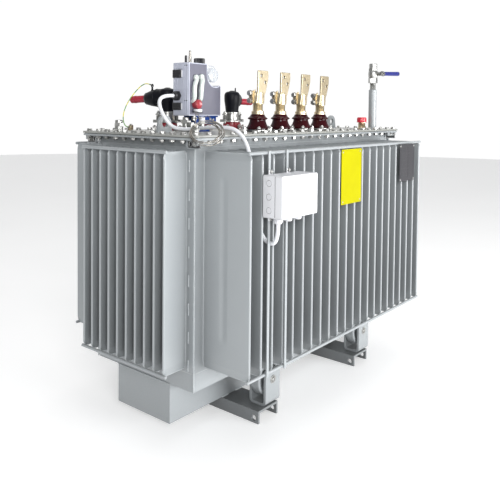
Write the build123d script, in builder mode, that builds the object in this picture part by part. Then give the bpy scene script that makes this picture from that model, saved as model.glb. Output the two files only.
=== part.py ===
"""Oil-filled distribution transformer with a corrugated tank.

Millimetres, +Z up. X runs along the long side, the low-voltage side faces -Y.
The model is drawn about the tank's centre line and moved by SHIFT_Y when it
is exported, so that the whole part is centred on its own bounding box.
"""
import os
from math import cos, radians, sin, tan, acos

from build123d import *

os.makedirs("parts", exist_ok=True)

# ---------------------------------------------------------------- dimensions
# tank
TANK_L = 1312.0          # outside length of the tank wall
TANK_W = 492.0           # outside width of the tank wall
TANK_T = 6.0             # wall thickness
SKIRT_Z = 185.0          # underside of the tank
RIM_Z = 1016.0           # underside of the rim flange
RIM_T = 7.0
GASKET_T = 2.0
COVER_T = 7.0
COVER_L = 1404.0
COVER_W = 592.0
RIM_L = 1400.0
RIM_W = 588.0
COVER_Z = RIM_Z + RIM_T + GASKET_T      # underside of the cover
TOP_Z = COVER_Z + COVER_T               # top of the cover
SUMP_W = 270.0           # narrow box under the tank
SUMP_T = 6.0

# corrugated walls
PITCH_L = 58.0
FINS_L = 22
FIN_DEPTH_L = 200.0
PITCH_S = 46.0
FINS_S = 10
FIN_DEPTH_S = 101.0
FIN_T = 10.0
FIN_Z0 = 261.0
FIN_Z1 = 977.0
FIN_R = 20.0             # rounded outer corners of a fin
SHEET_T = 3.0
SHEET_Z0 = 248.0
SHEET_Z1 = 990.0
ROD_R = 6.0
ROD_IN = 4.2             # rod axis inside the fin tips
ROD_OUT = 0.75           # rod axis beyond the fin ends

# undercarriage
RAIL_X = 335.0           # rail centre from the tank centre
RAIL_W = 114.0
RAIL_H = 46.0
RAIL_T = 8.0
RAIL_L = 620.0
TOW_R = 10.0
TOW_Y = 289.0
TOW_Z = 18.0
FORK_DX = 28.0           # the forks sit off the rail centre
FORK_W = 84.0            # width of the bent flat bar
FORK_T = 10.0
FORK_TOP = 174.0
FORK_SPAN = 75.0         # outside to outside of the two arms
FORK_BEND = 16.0
AXLE_R = 10.0
AXLE_Z = 136.0
WHEEL_R = 62.5
WHEEL_W = 40.0
BORE_R = 10.05

# bushings
LV_X = (-212.0, -66.0, 80.0, 226.0)
LV_Y = -150.0
HV_X = (-390.0, -195.0, 0.0)
HV_Y = 165.0
HV_TURN = (100.0, 95.0, 30.0)    # heading of each elbow, degrees from +X
HV_DROOP = 0.052         # fall of each elbow and cable along its heading
ELBOW_Z = 1162.0
ELBOW_R = 35.5
ELBOW_END = 100.0        # where the cable leaves the elbow
CABLE_R = 14.5

# relay
REL_X0, REL_X1 = -466.0, -291.0
REL_Y0, REL_Y1 = -30.0, 54.0
REL_Z0, REL_Z1 = 1091.0, 1288.0

# valve
VALVE_X, VALVE_Y = 567.0, -225.0
STEM_Z = 1292.0

# lifting lugs
LUG_X = 561.0

# junction box
BOX_X0, BOX_X1 = -561.0, -363.0
BOX_Z0, BOX_Z1 = 775.0, 910.0
BOX_BACK = -453.0        # carried by two narrow straps welded to the rods
STRAP_X = (-527.0, -431.0)
STRAP_W = 11.0
BOX_FRONT = -528.0
BOX_SEAM = -499.0
GLAND_X = (-514.0, -461.0, -408.0)
GLAND_Y = -478.0

TIP_Y = TANK_W / 2 + FIN_DEPTH_L
TIP_X = TANK_L / 2 + FIN_DEPTH_S
SHIFT_Y = (-BOX_FRONT - (TIP_Y - ROD_IN + ROD_R)) / 2

pieces = {}

# ------------------------------------------------------------------- tank
with BuildPart() as tank_shell:
    with BuildSketch(Plane.XY.offset(SKIRT_Z)):
        Rectangle(TANK_L, TANK_W)
    extrude(amount=RIM_Z - SKIRT_Z)
    with BuildSketch(Plane.XY.offset(SKIRT_Z + 8)):
        Rectangle(TANK_L - 2 * TANK_T, TANK_W - 2 * TANK_T)
    extrude(amount=RIM_Z - SKIRT_Z - 8, mode=Mode.SUBTRACT)
    fillet(tank_shell.edges().filter_by(Axis.Z).group_by(SortBy.LENGTH)[-1], 4)
pieces["tank_shell"] = tank_shell

with BuildPart() as tank_rim:
    with BuildSketch(Plane.XY.offset(RIM_Z)):
        RectangleRounded(RIM_L, RIM_W, 14)
        Rectangle(TANK_L - 60, TANK_W - 60, mode=Mode.SUBTRACT)
    extrude(amount=RIM_T)
pieces["tank_rim"] = tank_rim

with BuildPart() as cover_gasket:
    with BuildSketch(Plane.XY.offset(RIM_Z + RIM_T)):
        RectangleRounded(RIM_L - 8, RIM_W - 8, 12)
        Rectangle(TANK_L - 30, TANK_W - 30, mode=Mode.SUBTRACT)
    extrude(amount=GASKET_T)
pieces["cover_gasket"] = cover_gasket

with BuildPart() as cover_plate:
    with BuildSketch(Plane.XY.offset(COVER_Z)):
        RectangleRounded(COVER_L, COVER_W, 16)
    extrude(amount=COVER_T)
    chamfer(cover_plate.faces().sort_by(Axis.Z)[-1].edges(), 1.0)
pieces["cover_plate"] = cover_plate

with BuildPart() as sump_box:
    with BuildSketch(Plane.XY.offset(RAIL_H)):
        Rectangle(TANK_L, SUMP_W)
    extrude(amount=SKIRT_Z - RAIL_H)
    with BuildSketch(Plane.XY.offset(RAIL_H + SUMP_T)):
        Rectangle(TANK_L - 2 * SUMP_T, SUMP_W - 2 * SUMP_T)
    extrude(amount=SKIRT_Z - RAIL_H - SUMP_T, mode=Mode.SUBTRACT)
pieces["sump_box"] = sump_box

# -------------------------------------------------------- corrugated walls
with BuildPart() as wall_sheets:
    with BuildSketch(Plane.XY.offset(SHEET_Z0)):
        with Locations((0, TANK_W / 2 + SHEET_T / 2), (0, -TANK_W / 2 - SHEET_T / 2)):
            Rectangle(TANK_L - 4, SHEET_T)
        with Locations((TANK_L / 2 + SHEET_T / 2, 0), (-TANK_L / 2 - SHEET_T / 2, 0)):
            Rectangle(SHEET_T, TANK_W - 4)
    extrude(amount=SHEET_Z1 - SHEET_Z0)
pieces["wall_sheets"] = wall_sheets


def long_wall(side):
    y_wall = side * (TANK_W / 2 + SHEET_T)
    with BuildPart() as wall:
        x0 = -PITCH_L * (FINS_L - 1) / 2
        for i in range(FINS_L):
            with BuildSketch(Plane.YZ.offset(x0 + i * PITCH_L - FIN_T / 2)):
                with BuildLine():
                    Polyline(
                        (y_wall, FIN_Z0),
                        (side * TIP_Y, FIN_Z0),
                        (side * TIP_Y, FIN_Z1),
                        (y_wall, FIN_Z1),
                        close=True,
                    )
                make_face()
                tips = vertices().group_by(Axis.X)[0 if side < 0 else -1]
                fillet(tips, FIN_R)
            extrude(amount=FIN_T)
    return wall


def short_wall(side):
    x_wall = side * (TANK_L / 2 + SHEET_T)
    with BuildPart() as wall:
        y0 = -PITCH_S * (FINS_S - 1) / 2
        for i in range(FINS_S):
            with BuildSketch(Plane.XZ.offset(-(y0 + i * PITCH_S + FIN_T / 2))):
                with BuildLine():
                    Polyline(
                        (x_wall, FIN_Z0),
                        (side * TIP_X, FIN_Z0),
                        (side * TIP_X, FIN_Z1),
                        (x_wall, FIN_Z1),
                        close=True,
                    )
                make_face()
                tips = vertices().group_by(Axis.X)[0 if side < 0 else -1]
                fillet(tips, FIN_R)
            extrude(amount=FIN_T)
    return wall


pieces["fins_front"] = long_wall(-1)
pieces["fins_back"] = long_wall(1)
pieces["fins_left"] = short_wall(-1)
pieces["fins_right"] = short_wall(1)

ROD_LONG = PITCH_L * (FINS_L - 1) + 24
ROD_SHORT = PITCH_S * (FINS_S - 1) + 24
ROD_ZS = (FIN_Z0 - ROD_OUT, FIN_Z1 + ROD_OUT)
with BuildPart() as tie_rods:
    for z in ROD_ZS:
        for side in (-1, 1):
            with Locations(Location((0, side * (TIP_Y - ROD_IN), z), (0, 90, 0))):
                Cylinder(ROD_R, ROD_LONG)
            with Locations(Location((side * (TIP_X - ROD_IN), 0, z), (90, 0, 0))):
                Cylinder(ROD_R, ROD_SHORT)
pieces["tie_rods"] = tie_rods

# ----------------------------------------------------------- undercarriage
def rail(x):
    with BuildPart() as channel:
        with BuildSketch(Plane.XZ.offset(-RAIL_L / 2)):
            with Locations((x, RAIL_H / 2)):
                Rectangle(RAIL_W, RAIL_H)
            with Locations((x, (RAIL_H - RAIL_T) / 2)):
                Rectangle(RAIL_W - 2 * RAIL_T, RAIL_H - RAIL_T, mode=Mode.SUBTRACT)
        extrude(amount=RAIL_L)
        with BuildSketch(Plane.YZ.offset(x - RAIL_W)):
            with Locations((-TOW_Y, TOW_Z), (TOW_Y, TOW_Z)):
                Circle(TOW_R)
        extrude(amount=2 * RAIL_W, mode=Mode.SUBTRACT)
    return channel


pieces["rail_left"] = rail(-RAIL_X)
pieces["rail_right"] = rail(RAIL_X)

FORK_XS = (-RAIL_X + FORK_DX, RAIL_X + FORK_DX)
ARM_OUT = RAIL_L / 2 - 1
ARM_IN = ARM_OUT - FORK_SPAN
WHEEL_Y = (ARM_OUT + ARM_IN) / 2

with BuildPart() as roller_forks:
    for side in (-1, 1):
        for x in FORK_XS:
            with BuildSketch(Plane.YZ.offset(x - FORK_W / 2)):
                with BuildLine():
                    FilletPolyline(
                        (side * ARM_IN, FORK_TOP),
                        (side * ARM_IN, RAIL_H),
                        (side * ARM_OUT, RAIL_H),
                        (side * ARM_OUT, FORK_TOP),
                        radius=FORK_BEND,
                    )
                    Line((side * ARM_OUT, FORK_TOP), (side * (ARM_OUT - FORK_T), FORK_TOP))
                    FilletPolyline(
                        (side * (ARM_OUT - FORK_T), FORK_TOP),
                        (side * (ARM_OUT - FORK_T), RAIL_H + FORK_T),
                        (side * (ARM_IN + FORK_T), RAIL_H + FORK_T),
                        (side * (ARM_IN + FORK_T), FORK_TOP),
                        radius=FORK_BEND - FORK_T,
                    )
                    Line((side * (ARM_IN + FORK_T), FORK_TOP), (side * ARM_IN, FORK_TOP))
                make_face()
            extrude(amount=FORK_W)
            with Locations(Location((x, side * WHEEL_Y, AXLE_Z), (90, 0, 0))):
                Cylinder(AXLE_R, 200, mode=Mode.SUBTRACT)
pieces["roller_forks"] = roller_forks

with BuildPart() as roller_axles:
    for side in (-1, 1):
        for x in FORK_XS:
            y_a, y_b = side * (ARM_IN - 4), side * ARM_OUT
            with Locations(Location((x, (y_a + y_b) / 2, AXLE_Z), (90, 0, 0))):
                Cylinder(AXLE_R, abs(y_b - y_a))
            with Locations(Location((x, side * (ARM_OUT + 3), AXLE_Z), (90, 0, 0))):
                Cylinder(15, 6)
            with Locations(Location((x, side * (ARM_IN - 2.5), AXLE_Z), (90, 0, 0))):
                Cylinder(15, 5)
pieces["roller_axles"] = roller_axles


def wheel(x, side):
    with BuildPart() as roller:
        with BuildSketch(Plane.YZ.offset(x)):
            with BuildLine():
                h = WHEEL_W / 2
                Polyline(
                    (side * WHEEL_Y - h - 3, AXLE_Z + BORE_R),
                    (side * WHEEL_Y - h - 3, AXLE_Z + 20),
                    (side * WHEEL_Y - 8, AXLE_Z + 24),
                    (side * WHEEL_Y - 8, AXLE_Z + 46),
                    (side * WHEEL_Y - h, AXLE_Z + 50),
                    (side * WHEEL_Y - h, AXLE_Z + WHEEL_R - 3),
                    (side * WHEEL_Y - h + 3, AXLE_Z + WHEEL_R),
                    (side * WHEEL_Y + h - 3, AXLE_Z + WHEEL_R),
                    (side * WHEEL_Y + h, AXLE_Z + WHEEL_R - 3),
                    (side * WHEEL_Y + h, AXLE_Z + 50),
                    (side * WHEEL_Y + 8, AXLE_Z + 46),
                    (side * WHEEL_Y + 8, AXLE_Z + 24),
                    (side * WHEEL_Y + h + 3, AXLE_Z + 20),
                    (side * WHEEL_Y + h + 3, AXLE_Z + BORE_R),
                    close=True,
                )
            make_face()
        revolve(axis=Axis((x, 0, AXLE_Z), (0, 1, 0)))
    return roller


pieces["wheel_front_left"] = wheel(FORK_XS[0], -1)
pieces["wheel_front_right"] = wheel(FORK_XS[1], -1)
pieces["wheel_back_left"] = wheel(FORK_XS[0], 1)
pieces["wheel_back_right"] = wheel(FORK_XS[1], 1)

# ------------------------------------------------------------- low voltage
LV_FOOT = 8.0            # clamping ring under each porcelain
with BuildPart() as lv_flanges:
    for x in LV_X:
        with Locations((x, LV_Y, TOP_Z)):
            Cylinder(40, LV_FOOT, align=(Align.CENTER, Align.CENTER, Align.MIN))
pieces["lv_flanges"] = lv_flanges

with BuildPart() as lv_porcelains:
    for x in LV_X:
        with BuildSketch(Plane.XZ.offset(-LV_Y)):
            with BuildLine():
                Polyline(
                    (x, TOP_Z + LV_FOOT),
                    (x + 43, TOP_Z + LV_FOOT),
                    (x + 43, TOP_Z + 15),
                    (x + 40, TOP_Z + 20),
                    (x + 31, TOP_Z + 42),
                    (x + 31, TOP_Z + 46),
                    (x + 38, TOP_Z + 50),
                    (x + 38, TOP_Z + 54),
                    (x + 27, TOP_Z + 66),
                    (x, TOP_Z + 66),
                    close=True,
                )
            make_face()
        revolve(axis=Axis((x, LV_Y, 0), (0, 0, 1)))
pieces["lv_porcelains"] = lv_porcelains

LV_RING_Z = TOP_Z + 66
FLAG_TOP = 1267.0
FLAG_Y = LV_Y - 10.0     # back of the flag
FLAG_T = 8.0
with BuildPart() as lv_terminals:
    for x in LV_X:
        with Locations((x, LV_Y, LV_RING_Z)):
            Cylinder(24, 13, align=(Align.CENTER, Align.CENTER, Align.MIN))
        with Locations((x, LV_Y, LV_RING_Z + 13)):
            Cylinder(19.5, 27, align=(Align.CENTER, Align.CENTER, Align.MIN))
        with Locations((x - 1, LV_Y + 3, LV_RING_Z + 40)):
            Box(44, 38, 46, align=(Align.CENTER, Align.CENTER, Align.MIN))
        with BuildSketch(Plane.XZ.offset(-FLAG_Y)):
            with BuildLine():
                Polyline(
                    (x - 28, LV_RING_Z + 42),
                    (x + 8, LV_RING_Z + 42),
                    (x + 26, LV_RING_Z + 86),
                    (x + 43, LV_RING_Z + 138),
                    (x + 43, FLAG_TOP),
                    (x - 17, FLAG_TOP),
                    (x - 20, LV_RING_Z + 86),
                    close=True,
                )
            make_face()
        extrude(amount=FLAG_T)
        with Locations(
            Location((x + 1, FLAG_Y - FLAG_T / 2, FLAG_TOP - 20), (90, 0, 0)),
            Location((x + 24, FLAG_Y - FLAG_T / 2, FLAG_TOP - 45), (90, 0, 0)),
        ):
            Cylinder(7, 40, mode=Mode.SUBTRACT)
        with Locations((x - 22, LV_Y + 16, LV_RING_Z + 63)):
            Box(14, 18, 56)
pieces["lv_terminals"] = lv_terminals

# ------------------------------------------------------------ high voltage
with BuildPart() as hv_bushings:
    for x in HV_X:
        with Locations((x, HV_Y, TOP_Z)):
            Cone(42, 36, 30, align=(Align.CENTER, Align.CENTER, Align.MIN))
pieces["hv_bushings"] = hv_bushings

with BuildPart() as hv_clamps:
    for x in HV_X:
        with Locations((x, HV_Y, TOP_Z + 30)):
            Cylinder(42, 7, align=(Align.CENTER, Align.CENTER, Align.MIN))
        with Locations((x, HV_Y, TOP_Z + 37)):
            Cylinder(29, 34, align=(Align.CENTER, Align.CENTER, Align.MIN))
pieces["hv_clamps"] = hv_clamps


HEADINGS = [
    Vector(cos(radians(t)), sin(radians(t)), -HV_DROOP).normalized() for t in HV_TURN
]
with BuildPart() as hv_elbows:
    for x, heading in zip(HV_X, HEADINGS):
        centre = Vector(x, HV_Y, ELBOW_Z)
        with Locations((x, HV_Y, TOP_Z + 71)):
            Cone(27, 32, ELBOW_Z - TOP_Z - 71, align=(Align.CENTER, Align.CENTER, Align.MIN))
        with Locations((x, HV_Y, ELBOW_Z)):
            Sphere(ELBOW_R)
        with BuildSketch(Plane(origin=centre, z_dir=heading)):
            Circle(ELBOW_R)
        extrude(amount=50)
        with BuildSketch(Plane(origin=centre + heading * 50, z_dir=heading)):
            Circle(ELBOW_R)
        with BuildSketch(Plane(origin=centre + heading * ELBOW_END, z_dir=heading)):
            Circle(24)
        loft()
        prong = centre + heading * 76
        with Locations((prong.X, prong.Y, prong.Z + 20)):
            Cylinder(4, 40, align=(Align.CENTER, Align.CENTER, Align.MIN))
pieces["hv_elbows"] = hv_elbows

# cut cable ends: the first two straight, the third bent towards the long side
CABLE_BEND = Vector(cos(radians(-10)), sin(radians(-10)), -0.02).normalized()
with BuildPart() as hv_cables:
    for x, heading, bent in zip(HV_X, HEADINGS, (False, False, True)):
        start = Vector(x, HV_Y, ELBOW_Z) + heading * ELBOW_END
        if bent:
            with BuildLine() as cable_path:
                corner = start + heading * 34
                FilletPolyline(start, corner, corner + CABLE_BEND * 82, radius=70)
            with BuildSketch(Plane(origin=start, z_dir=heading)):
                Circle(CABLE_R)
            sweep(path=cable_path.line)
        else:
            with BuildSketch(Plane(origin=start, z_dir=heading)):
                Circle(CABLE_R)
            extrude(amount=80)
pieces["hv_cables"] = hv_cables

# ------------------------------------------------------- protection relay
with BuildPart() as relay_body:
    with BuildSketch(Plane.XZ.offset(-REL_Y1)):
        with BuildLine():
            Polyline(
                (REL_X0 + 98, REL_Z1),
                (REL_X0, REL_Z1),
                (REL_X0, REL_Z0),
                (REL_X1, REL_Z0),
                (REL_X1, 1205),
            )
            ThreePointArc((REL_X1, 1205), (REL_X0 + 121, 1217), (REL_X0 + 98, 1248))
            Line((REL_X0 + 98, 1248), (REL_X0 + 98, REL_Z1))
        make_face()
    extrude(amount=REL_Y1 - REL_Y0)
pieces["relay_body"] = relay_body

REL_CX = (REL_X0 + REL_X1) / 2
REL_CY = (REL_Y0 + REL_Y1) / 2
with BuildPart() as relay_base:
    with Locations((REL_CX, REL_CY, TOP_Z)):
        Cylinder(48, 12, align=(Align.CENTER, Align.CENTER, Align.MIN))
    with Locations((REL_CX, REL_CY, TOP_Z + 12)):
        Cylinder(26, 21, align=(Align.CENTER, Align.CENTER, Align.MIN))
    with Locations((REL_CX, REL_CY, TOP_Z + 33)):
        Box(150, 60, REL_Z0 - TOP_Z - 33, align=(Align.CENTER, Align.CENTER, Align.MIN))
pieces["relay_base"] = relay_base

with BuildPart() as relay_window:
    with Locations(
        Location((REL_X0 + 22, REL_Y0 - 10, 1194)), Location((REL_X0 + 52, REL_Y0 - 10, 1194))
    ):
        Cylinder(10, 78)
pieces["relay_window"] = relay_window

with BuildPart() as relay_dome:
    with Locations(Location((REL_X0 + 144, 12, 1247), (90, 0, 0))):
        Cylinder(27, 50)
pieces["relay_dome"] = relay_dome

with BuildPart() as relay_knobs:
    with Locations((REL_X0 + 79, -5, REL_Z1)):
        Cylinder(21, 20, align=(Align.CENTER, Align.CENTER, Align.MIN))
    with Locations(Location((REL_X0 - 11, 30, 1165), (0, 90, 0))):
        Cylinder(17, 22)
pieces["relay_knobs"] = relay_knobs

with BuildPart() as relay_button:
    with Locations(Location((REL_X0 + 33, REL_Y0 - 10.5, 1134), (90, 0, 0))):
        Cylinder(16, 21)
pieces["relay_button"] = relay_button

# -------------------------------------------------------- cover furniture
with BuildPart() as filler_pipe:
    with Locations((VALVE_X, VALVE_Y, TOP_Z)):
        Cylinder(24, 8, align=(Align.CENTER, Align.CENTER, Align.MIN))
    with Locations((VALVE_X, VALVE_Y, TOP_Z + 8)):
        Cylinder(18.5, 1218 - TOP_Z - 8, align=(Align.CENTER, Align.CENTER, Align.MIN))
    with Locations((VALVE_X, VALVE_Y, 1218)):
        Cylinder(14, 30, align=(Align.CENTER, Align.CENTER, Align.MIN))
pieces["filler_pipe"] = filler_pipe

with BuildPart() as valve_body:
    with BuildSketch(Plane.XY.offset(1248)):
        with Locations((VALVE_X, VALVE_Y)):
            RegularPolygon(22, 6)
    extrude(amount=26)
    with Locations((VALVE_X, VALVE_Y, STEM_Z)):
        Sphere(22)
    with Locations((VALVE_X, VALVE_Y, 1309)):
        Cylinder(19, 32, align=(Align.CENTER, Align.CENTER, Align.MIN))
    with Locations(Location((VALVE_X, VALVE_Y - 28, STEM_Z), (90, 0, 0))):
        Cylinder(9, 20)
    with Locations(Location((VALVE_X, VALVE_Y - 46, STEM_Z), (90, 0, 0))):
        Cylinder(4, 18)
pieces["valve_body"] = valve_body

with BuildPart() as valve_lever:
    with BuildSketch(Plane.XZ.offset(-(VALVE_Y - 43))):
        with BuildLine():
            Polyline(
                (VALVE_X - 12, STEM_Z - 12),
                (VALVE_X + 24, STEM_Z - 10),
                (VALVE_X + 50, STEM_Z - 8),
                (VALVE_X + 181, STEM_Z - 2),
                (VALVE_X + 181, STEM_Z + 19),
                (VALVE_X + 50, STEM_Z + 13),
                (VALVE_X - 12, STEM_Z + 12),
                close=True,
            )
        make_face()
        with Locations((VALVE_X, STEM_Z)):
            Circle(4.05, mode=Mode.SUBTRACT)
    extrude(amount=6)
pieces["valve_lever"] = valve_lever

with BuildPart() as red_cap_stub:
    with Locations((520, -195, TOP_Z)):
        Cylinder(17, 31, align=(Align.CENTER, Align.CENTER, Align.MIN))
pieces["breather_stub"] = red_cap_stub

with BuildPart() as breather_cap:
    with Locations((520, -195, TOP_Z + 31)):
        Cylinder(24, 24, align=(Align.CENTER, Align.CENTER, Align.MIN))
pieces["breather_cap"] = breather_cap

with BuildPart() as sensor_pockets:
    with Locations((-560, -155, TOP_Z)):
        Cylinder(13, 31, align=(Align.CENTER, Align.CENTER, Align.MIN))
    with Locations((-620, 180, TOP_Z)):
        Cylinder(16, 42, align=(Align.CENTER, Align.CENTER, Align.MIN))
    # boss where the earth lead of the first elbow ends
    with Locations((-504, 250, TOP_Z)):
        Box(14, 14, 20, align=(Align.CENTER, Align.CENTER, Align.MIN))
pieces["sensor_pockets"] = sensor_pockets

with BuildPart() as lifting_lugs:
    for x, y in ((LUG_X, 0), (-LUG_X, 0)):
        with BuildSketch(Plane.XZ.offset(-y - 6)):
            with BuildLine():
                Polyline((x - 36, TOP_Z), (x + 36, TOP_Z), (x + 30, TOP_Z + 34))
                ThreePointArc((x + 30, TOP_Z + 34), (x, TOP_Z + 62), (x - 30, TOP_Z + 34))
                Line((x - 30, TOP_Z + 34), (x - 36, TOP_Z))
            make_face()
            with Locations((x, TOP_Z + 32)):
                Circle(14, mode=Mode.SUBTRACT)
        extrude(amount=12)
pieces["lifting_lugs"] = lifting_lugs

with BuildPart() as corner_lugs:
    for sx in (-1, 1):
        for sy in (-1, 1):
            with BuildSketch(Plane.YZ.offset(sx * (TANK_L / 2 + 22) - 5)):
                with Locations((sy * (COVER_W / 2 - 34), RIM_Z - 14)):
                    RectangleRounded(56, 28, 8)
                with Locations((sy * (COVER_W / 2 - 24), RIM_Z - 14)):
                    Circle(7, mode=Mode.SUBTRACT)
            extrude(amount=10)
pieces["corner_lugs"] = corner_lugs

# ----------------------------------------------------------- junction box
with BuildPart() as box_straps:
    for x in STRAP_X:
        with Locations((x, (BOX_BACK - (TIP_Y - ROD_IN + ROD_R)) / 2, (FIN_Z0 + FIN_Z1) / 2)):
            Box(STRAP_W, -BOX_BACK - (TIP_Y - ROD_IN + ROD_R), FIN_Z1 - FIN_Z0 + 16)
pieces["box_straps"] = box_straps

with BuildPart() as junction_box:
    with Locations(((BOX_X0 + BOX_X1) / 2, (BOX_BACK + BOX_SEAM) / 2, (BOX_Z0 + BOX_Z1) / 2)):
        Box(BOX_X1 - BOX_X0, BOX_BACK - BOX_SEAM, BOX_Z1 - BOX_Z0)
    fillet(junction_box.edges().filter_by(Axis.Y), 6)
pieces["junction_box"] = junction_box

with BuildPart() as junction_lid:
    with Locations(((BOX_X0 + BOX_X1) / 2, (BOX_SEAM + BOX_FRONT) / 2, (BOX_Z0 + BOX_Z1) / 2)):
        Box(BOX_X1 - BOX_X0, BOX_SEAM - BOX_FRONT, BOX_Z1 - BOX_Z0)
    fillet(junction_lid.edges().filter_by(Axis.Y), 6)
    chamfer(junction_lid.faces().sort_by(Axis.Y)[0].edges(), 3)
pieces["junction_lid"] = junction_lid

with BuildPart() as box_glands:
    for x, h in zip(GLAND_X, (24, 20, 20)):
        with Locations((x, GLAND_Y, BOX_Z0 - h)):
            Cylinder(15, h, align=(Align.CENTER, Align.CENTER, Align.MIN))
pieces["box_glands"] = box_glands

# ------------------------------------------------------------------ plates
with BuildPart() as front_plate:
    with BuildSketch(Plane.XZ.offset(TIP_Y)):
        with Locations((-4, 865)):
            RectangleRounded(149, 209, 4)
    extrude(amount=2)
pieces["front_plate"] = front_plate

with BuildPart() as nameplate:
    with BuildSketch(Plane.XZ.offset(TIP_Y + 8)):
        with Locations((462, 892)):
            RectangleRounded(143, 161, 3)
    extrude(amount=2)
pieces["nameplate"] = nameplate

with BuildPart() as nameplate_brackets:
    for x in (464 - 46, 464 + 46):
        with Locations((x, -TIP_Y - 4, 892)):
            Box(20, 8, 150)
pieces["nameplate_brackets"] = nameplate_brackets

# ---------------------------------------------------------------- conduit
CONDUIT_R = 6.75
CONDUIT_ROUTE = [
    (REL_X0 - 22, 30, 1165),
    (-536, 30, 1165),
    (-576, 16, 1142),
    (-588, -20, 1094),
    (-568, -46, 1050),
    (-546, -84, 1044),
    (-532, -130, 1047),
    (-533, -226, 1056),
    (-516, -320, 1050),
    (-522, -378, 950),
    (-524, -384, 800),
    (-516, -402, 722),
    (-512, -438, 680),
    (GLAND_X[0], GLAND_Y, 694),
    (GLAND_X[0], GLAND_Y, BOX_Z0 - 24),
]


def corner_radii(route, largest):
    radii = []
    for a, b, c in zip(route, route[1:], route[2:]):
        u, v = Vector(*b) - Vector(*a), Vector(*c) - Vector(*b)
        turn = acos(max(-1.0, min(1.0, u.normalized().dot(v.normalized()))))
        shorter = min(u.length, v.length)
        radii.append(min(largest, 0.45 * shorter / tan(turn / 2)))
    return radii


with BuildPart() as conduit:
    with BuildLine() as conduit_path:
        FilletPolyline(*CONDUIT_ROUTE, radius=corner_radii(CONDUIT_ROUTE, 70))
    with BuildSketch(Plane(origin=conduit_path.line @ 0, z_dir=conduit_path.line % 0)):
        Circle(CONDUIT_R)
    sweep(path=conduit_path.line)
pieces["conduit"] = conduit

# ------------------------------------------------- thin leads on the cover
# earth lead of the first elbow, from its prong down to a boss on the cover
EARTH_ROUTE = [
    (-407.2, 240, 1211),
    (-433, 238, 1219),
    (-464, 238, 1206),
    (-486, 240, 1186),
    (-506, 243, 1164),
    (-524, 246, 1139),
    (-537, 249, 1112),
    (-542.5, 251.5, 1085),
    (-539, 252, 1061),
    (-528, 250, 1044.5),
    (-511.2, 250, 1044.5),
]
with BuildPart() as earth_wire:
    with BuildLine() as earth_path:
        FilletPolyline(*EARTH_ROUTE, radius=corner_radii(EARTH_ROUTE, 40))
    with BuildSketch(Plane(origin=earth_path.line @ 0, z_dir=earth_path.line % 0)):
        Circle(1.8)
    sweep(path=earth_path.line)
pieces["earth_wire"] = earth_wire

# capillary tube of the thermometer, its spare length coiled round the corner
COIL_C = (-678.0, -317.0, 1041.0)
COIL_R = 50.0
COIL_TUBE = 7.0
COIL_TILT = 43.0
VIEW = Vector(0.774, 0.632, 0).normalized()
COIL_U = Vector(VIEW.Y, -VIEW.X, 0)
COIL_V = VIEW * cos(radians(COIL_TILT)) + Vector(0, 0, sin(radians(COIL_TILT)))
COIL_N = COIL_U.cross(COIL_V)
with BuildPart() as capillary_coil:
    with Locations(Plane(origin=COIL_C, x_dir=COIL_U, z_dir=COIL_N).location):
        Torus(COIL_R, COIL_TUBE)
pieces["capillary_coil"] = capillary_coil


def on_coil(angle, lift):
    return (
        Vector(*COIL_C)
        + (COIL_U * cos(radians(angle)) + COIL_V * sin(radians(angle))) * COIL_R
        + Vector(0, 0, lift)
    )


POCKET_ROUTE = [
    (-560, -155, TOP_Z + 31),
    (-560, -155, TOP_Z + 58),
    (-590, -186, TOP_Z + 70),
    (-622, -226, TOP_Z + 66),
    tuple(on_coil(112, 10.5)),
]
RELAY_ROUTE = [
    (-430, -18, TOP_Z + 50),
    (-430, -60, TOP_Z + 50),
    (-472, -118, TOP_Z + 57),
    (-528, -178, TOP_Z + 60),
    (-582, -234, TOP_Z + 62),
    tuple(on_coil(72, 10.5)),
]
with BuildPart() as capillary:
    with BuildLine() as pocket_path:
        FilletPolyline(*POCKET_ROUTE, radius=corner_radii(POCKET_ROUTE, 40))
    with BuildSketch(Plane(origin=pocket_path.line @ 0, z_dir=pocket_path.line % 0)):
        Circle(1.5)
    sweep(path=pocket_path.line)
    with BuildLine() as relay_path:
        FilletPolyline(*RELAY_ROUTE, radius=corner_radii(RELAY_ROUTE, 60))
    with BuildSketch(Plane(origin=relay_path.line @ 0, z_dir=relay_path.line % 0)):
        Circle(1.5)
    sweep(path=relay_path.line)
pieces["capillary"] = capillary

# ------------------------------------------------------------------ export
for label, piece in pieces.items():
    placed = piece.part.moved(Location((0, SHIFT_Y, 0)))
    placed.label = label
    export_step(placed, f"parts/{label}.step")
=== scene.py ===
"""Looks of an oil-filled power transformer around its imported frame."""
import bpy, bmesh, math, random
from math import sin, cos, pi, radians, sqrt
from mathutils import Matrix, Vector


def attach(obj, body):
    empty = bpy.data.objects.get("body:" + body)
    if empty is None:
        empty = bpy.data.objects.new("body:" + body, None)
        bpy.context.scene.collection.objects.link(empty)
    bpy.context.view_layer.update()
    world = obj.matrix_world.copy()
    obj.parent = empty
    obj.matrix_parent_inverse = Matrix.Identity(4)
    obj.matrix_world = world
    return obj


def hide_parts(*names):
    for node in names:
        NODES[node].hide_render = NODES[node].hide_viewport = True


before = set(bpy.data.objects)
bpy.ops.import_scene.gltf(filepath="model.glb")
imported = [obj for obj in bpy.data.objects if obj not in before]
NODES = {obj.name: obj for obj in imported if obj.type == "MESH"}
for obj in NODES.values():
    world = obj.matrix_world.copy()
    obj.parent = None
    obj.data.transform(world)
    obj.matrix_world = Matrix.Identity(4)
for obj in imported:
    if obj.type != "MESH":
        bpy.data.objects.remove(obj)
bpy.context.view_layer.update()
rng = random.Random(7)

# Lengths below are millimetres about the tank's centre line; the frame's own
# origin is 40.1 mm further to -Y, so points are moved by SHIFT_Y and scaled.
SHIFT_Y = 40.1
TOP = 1032.0


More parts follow.
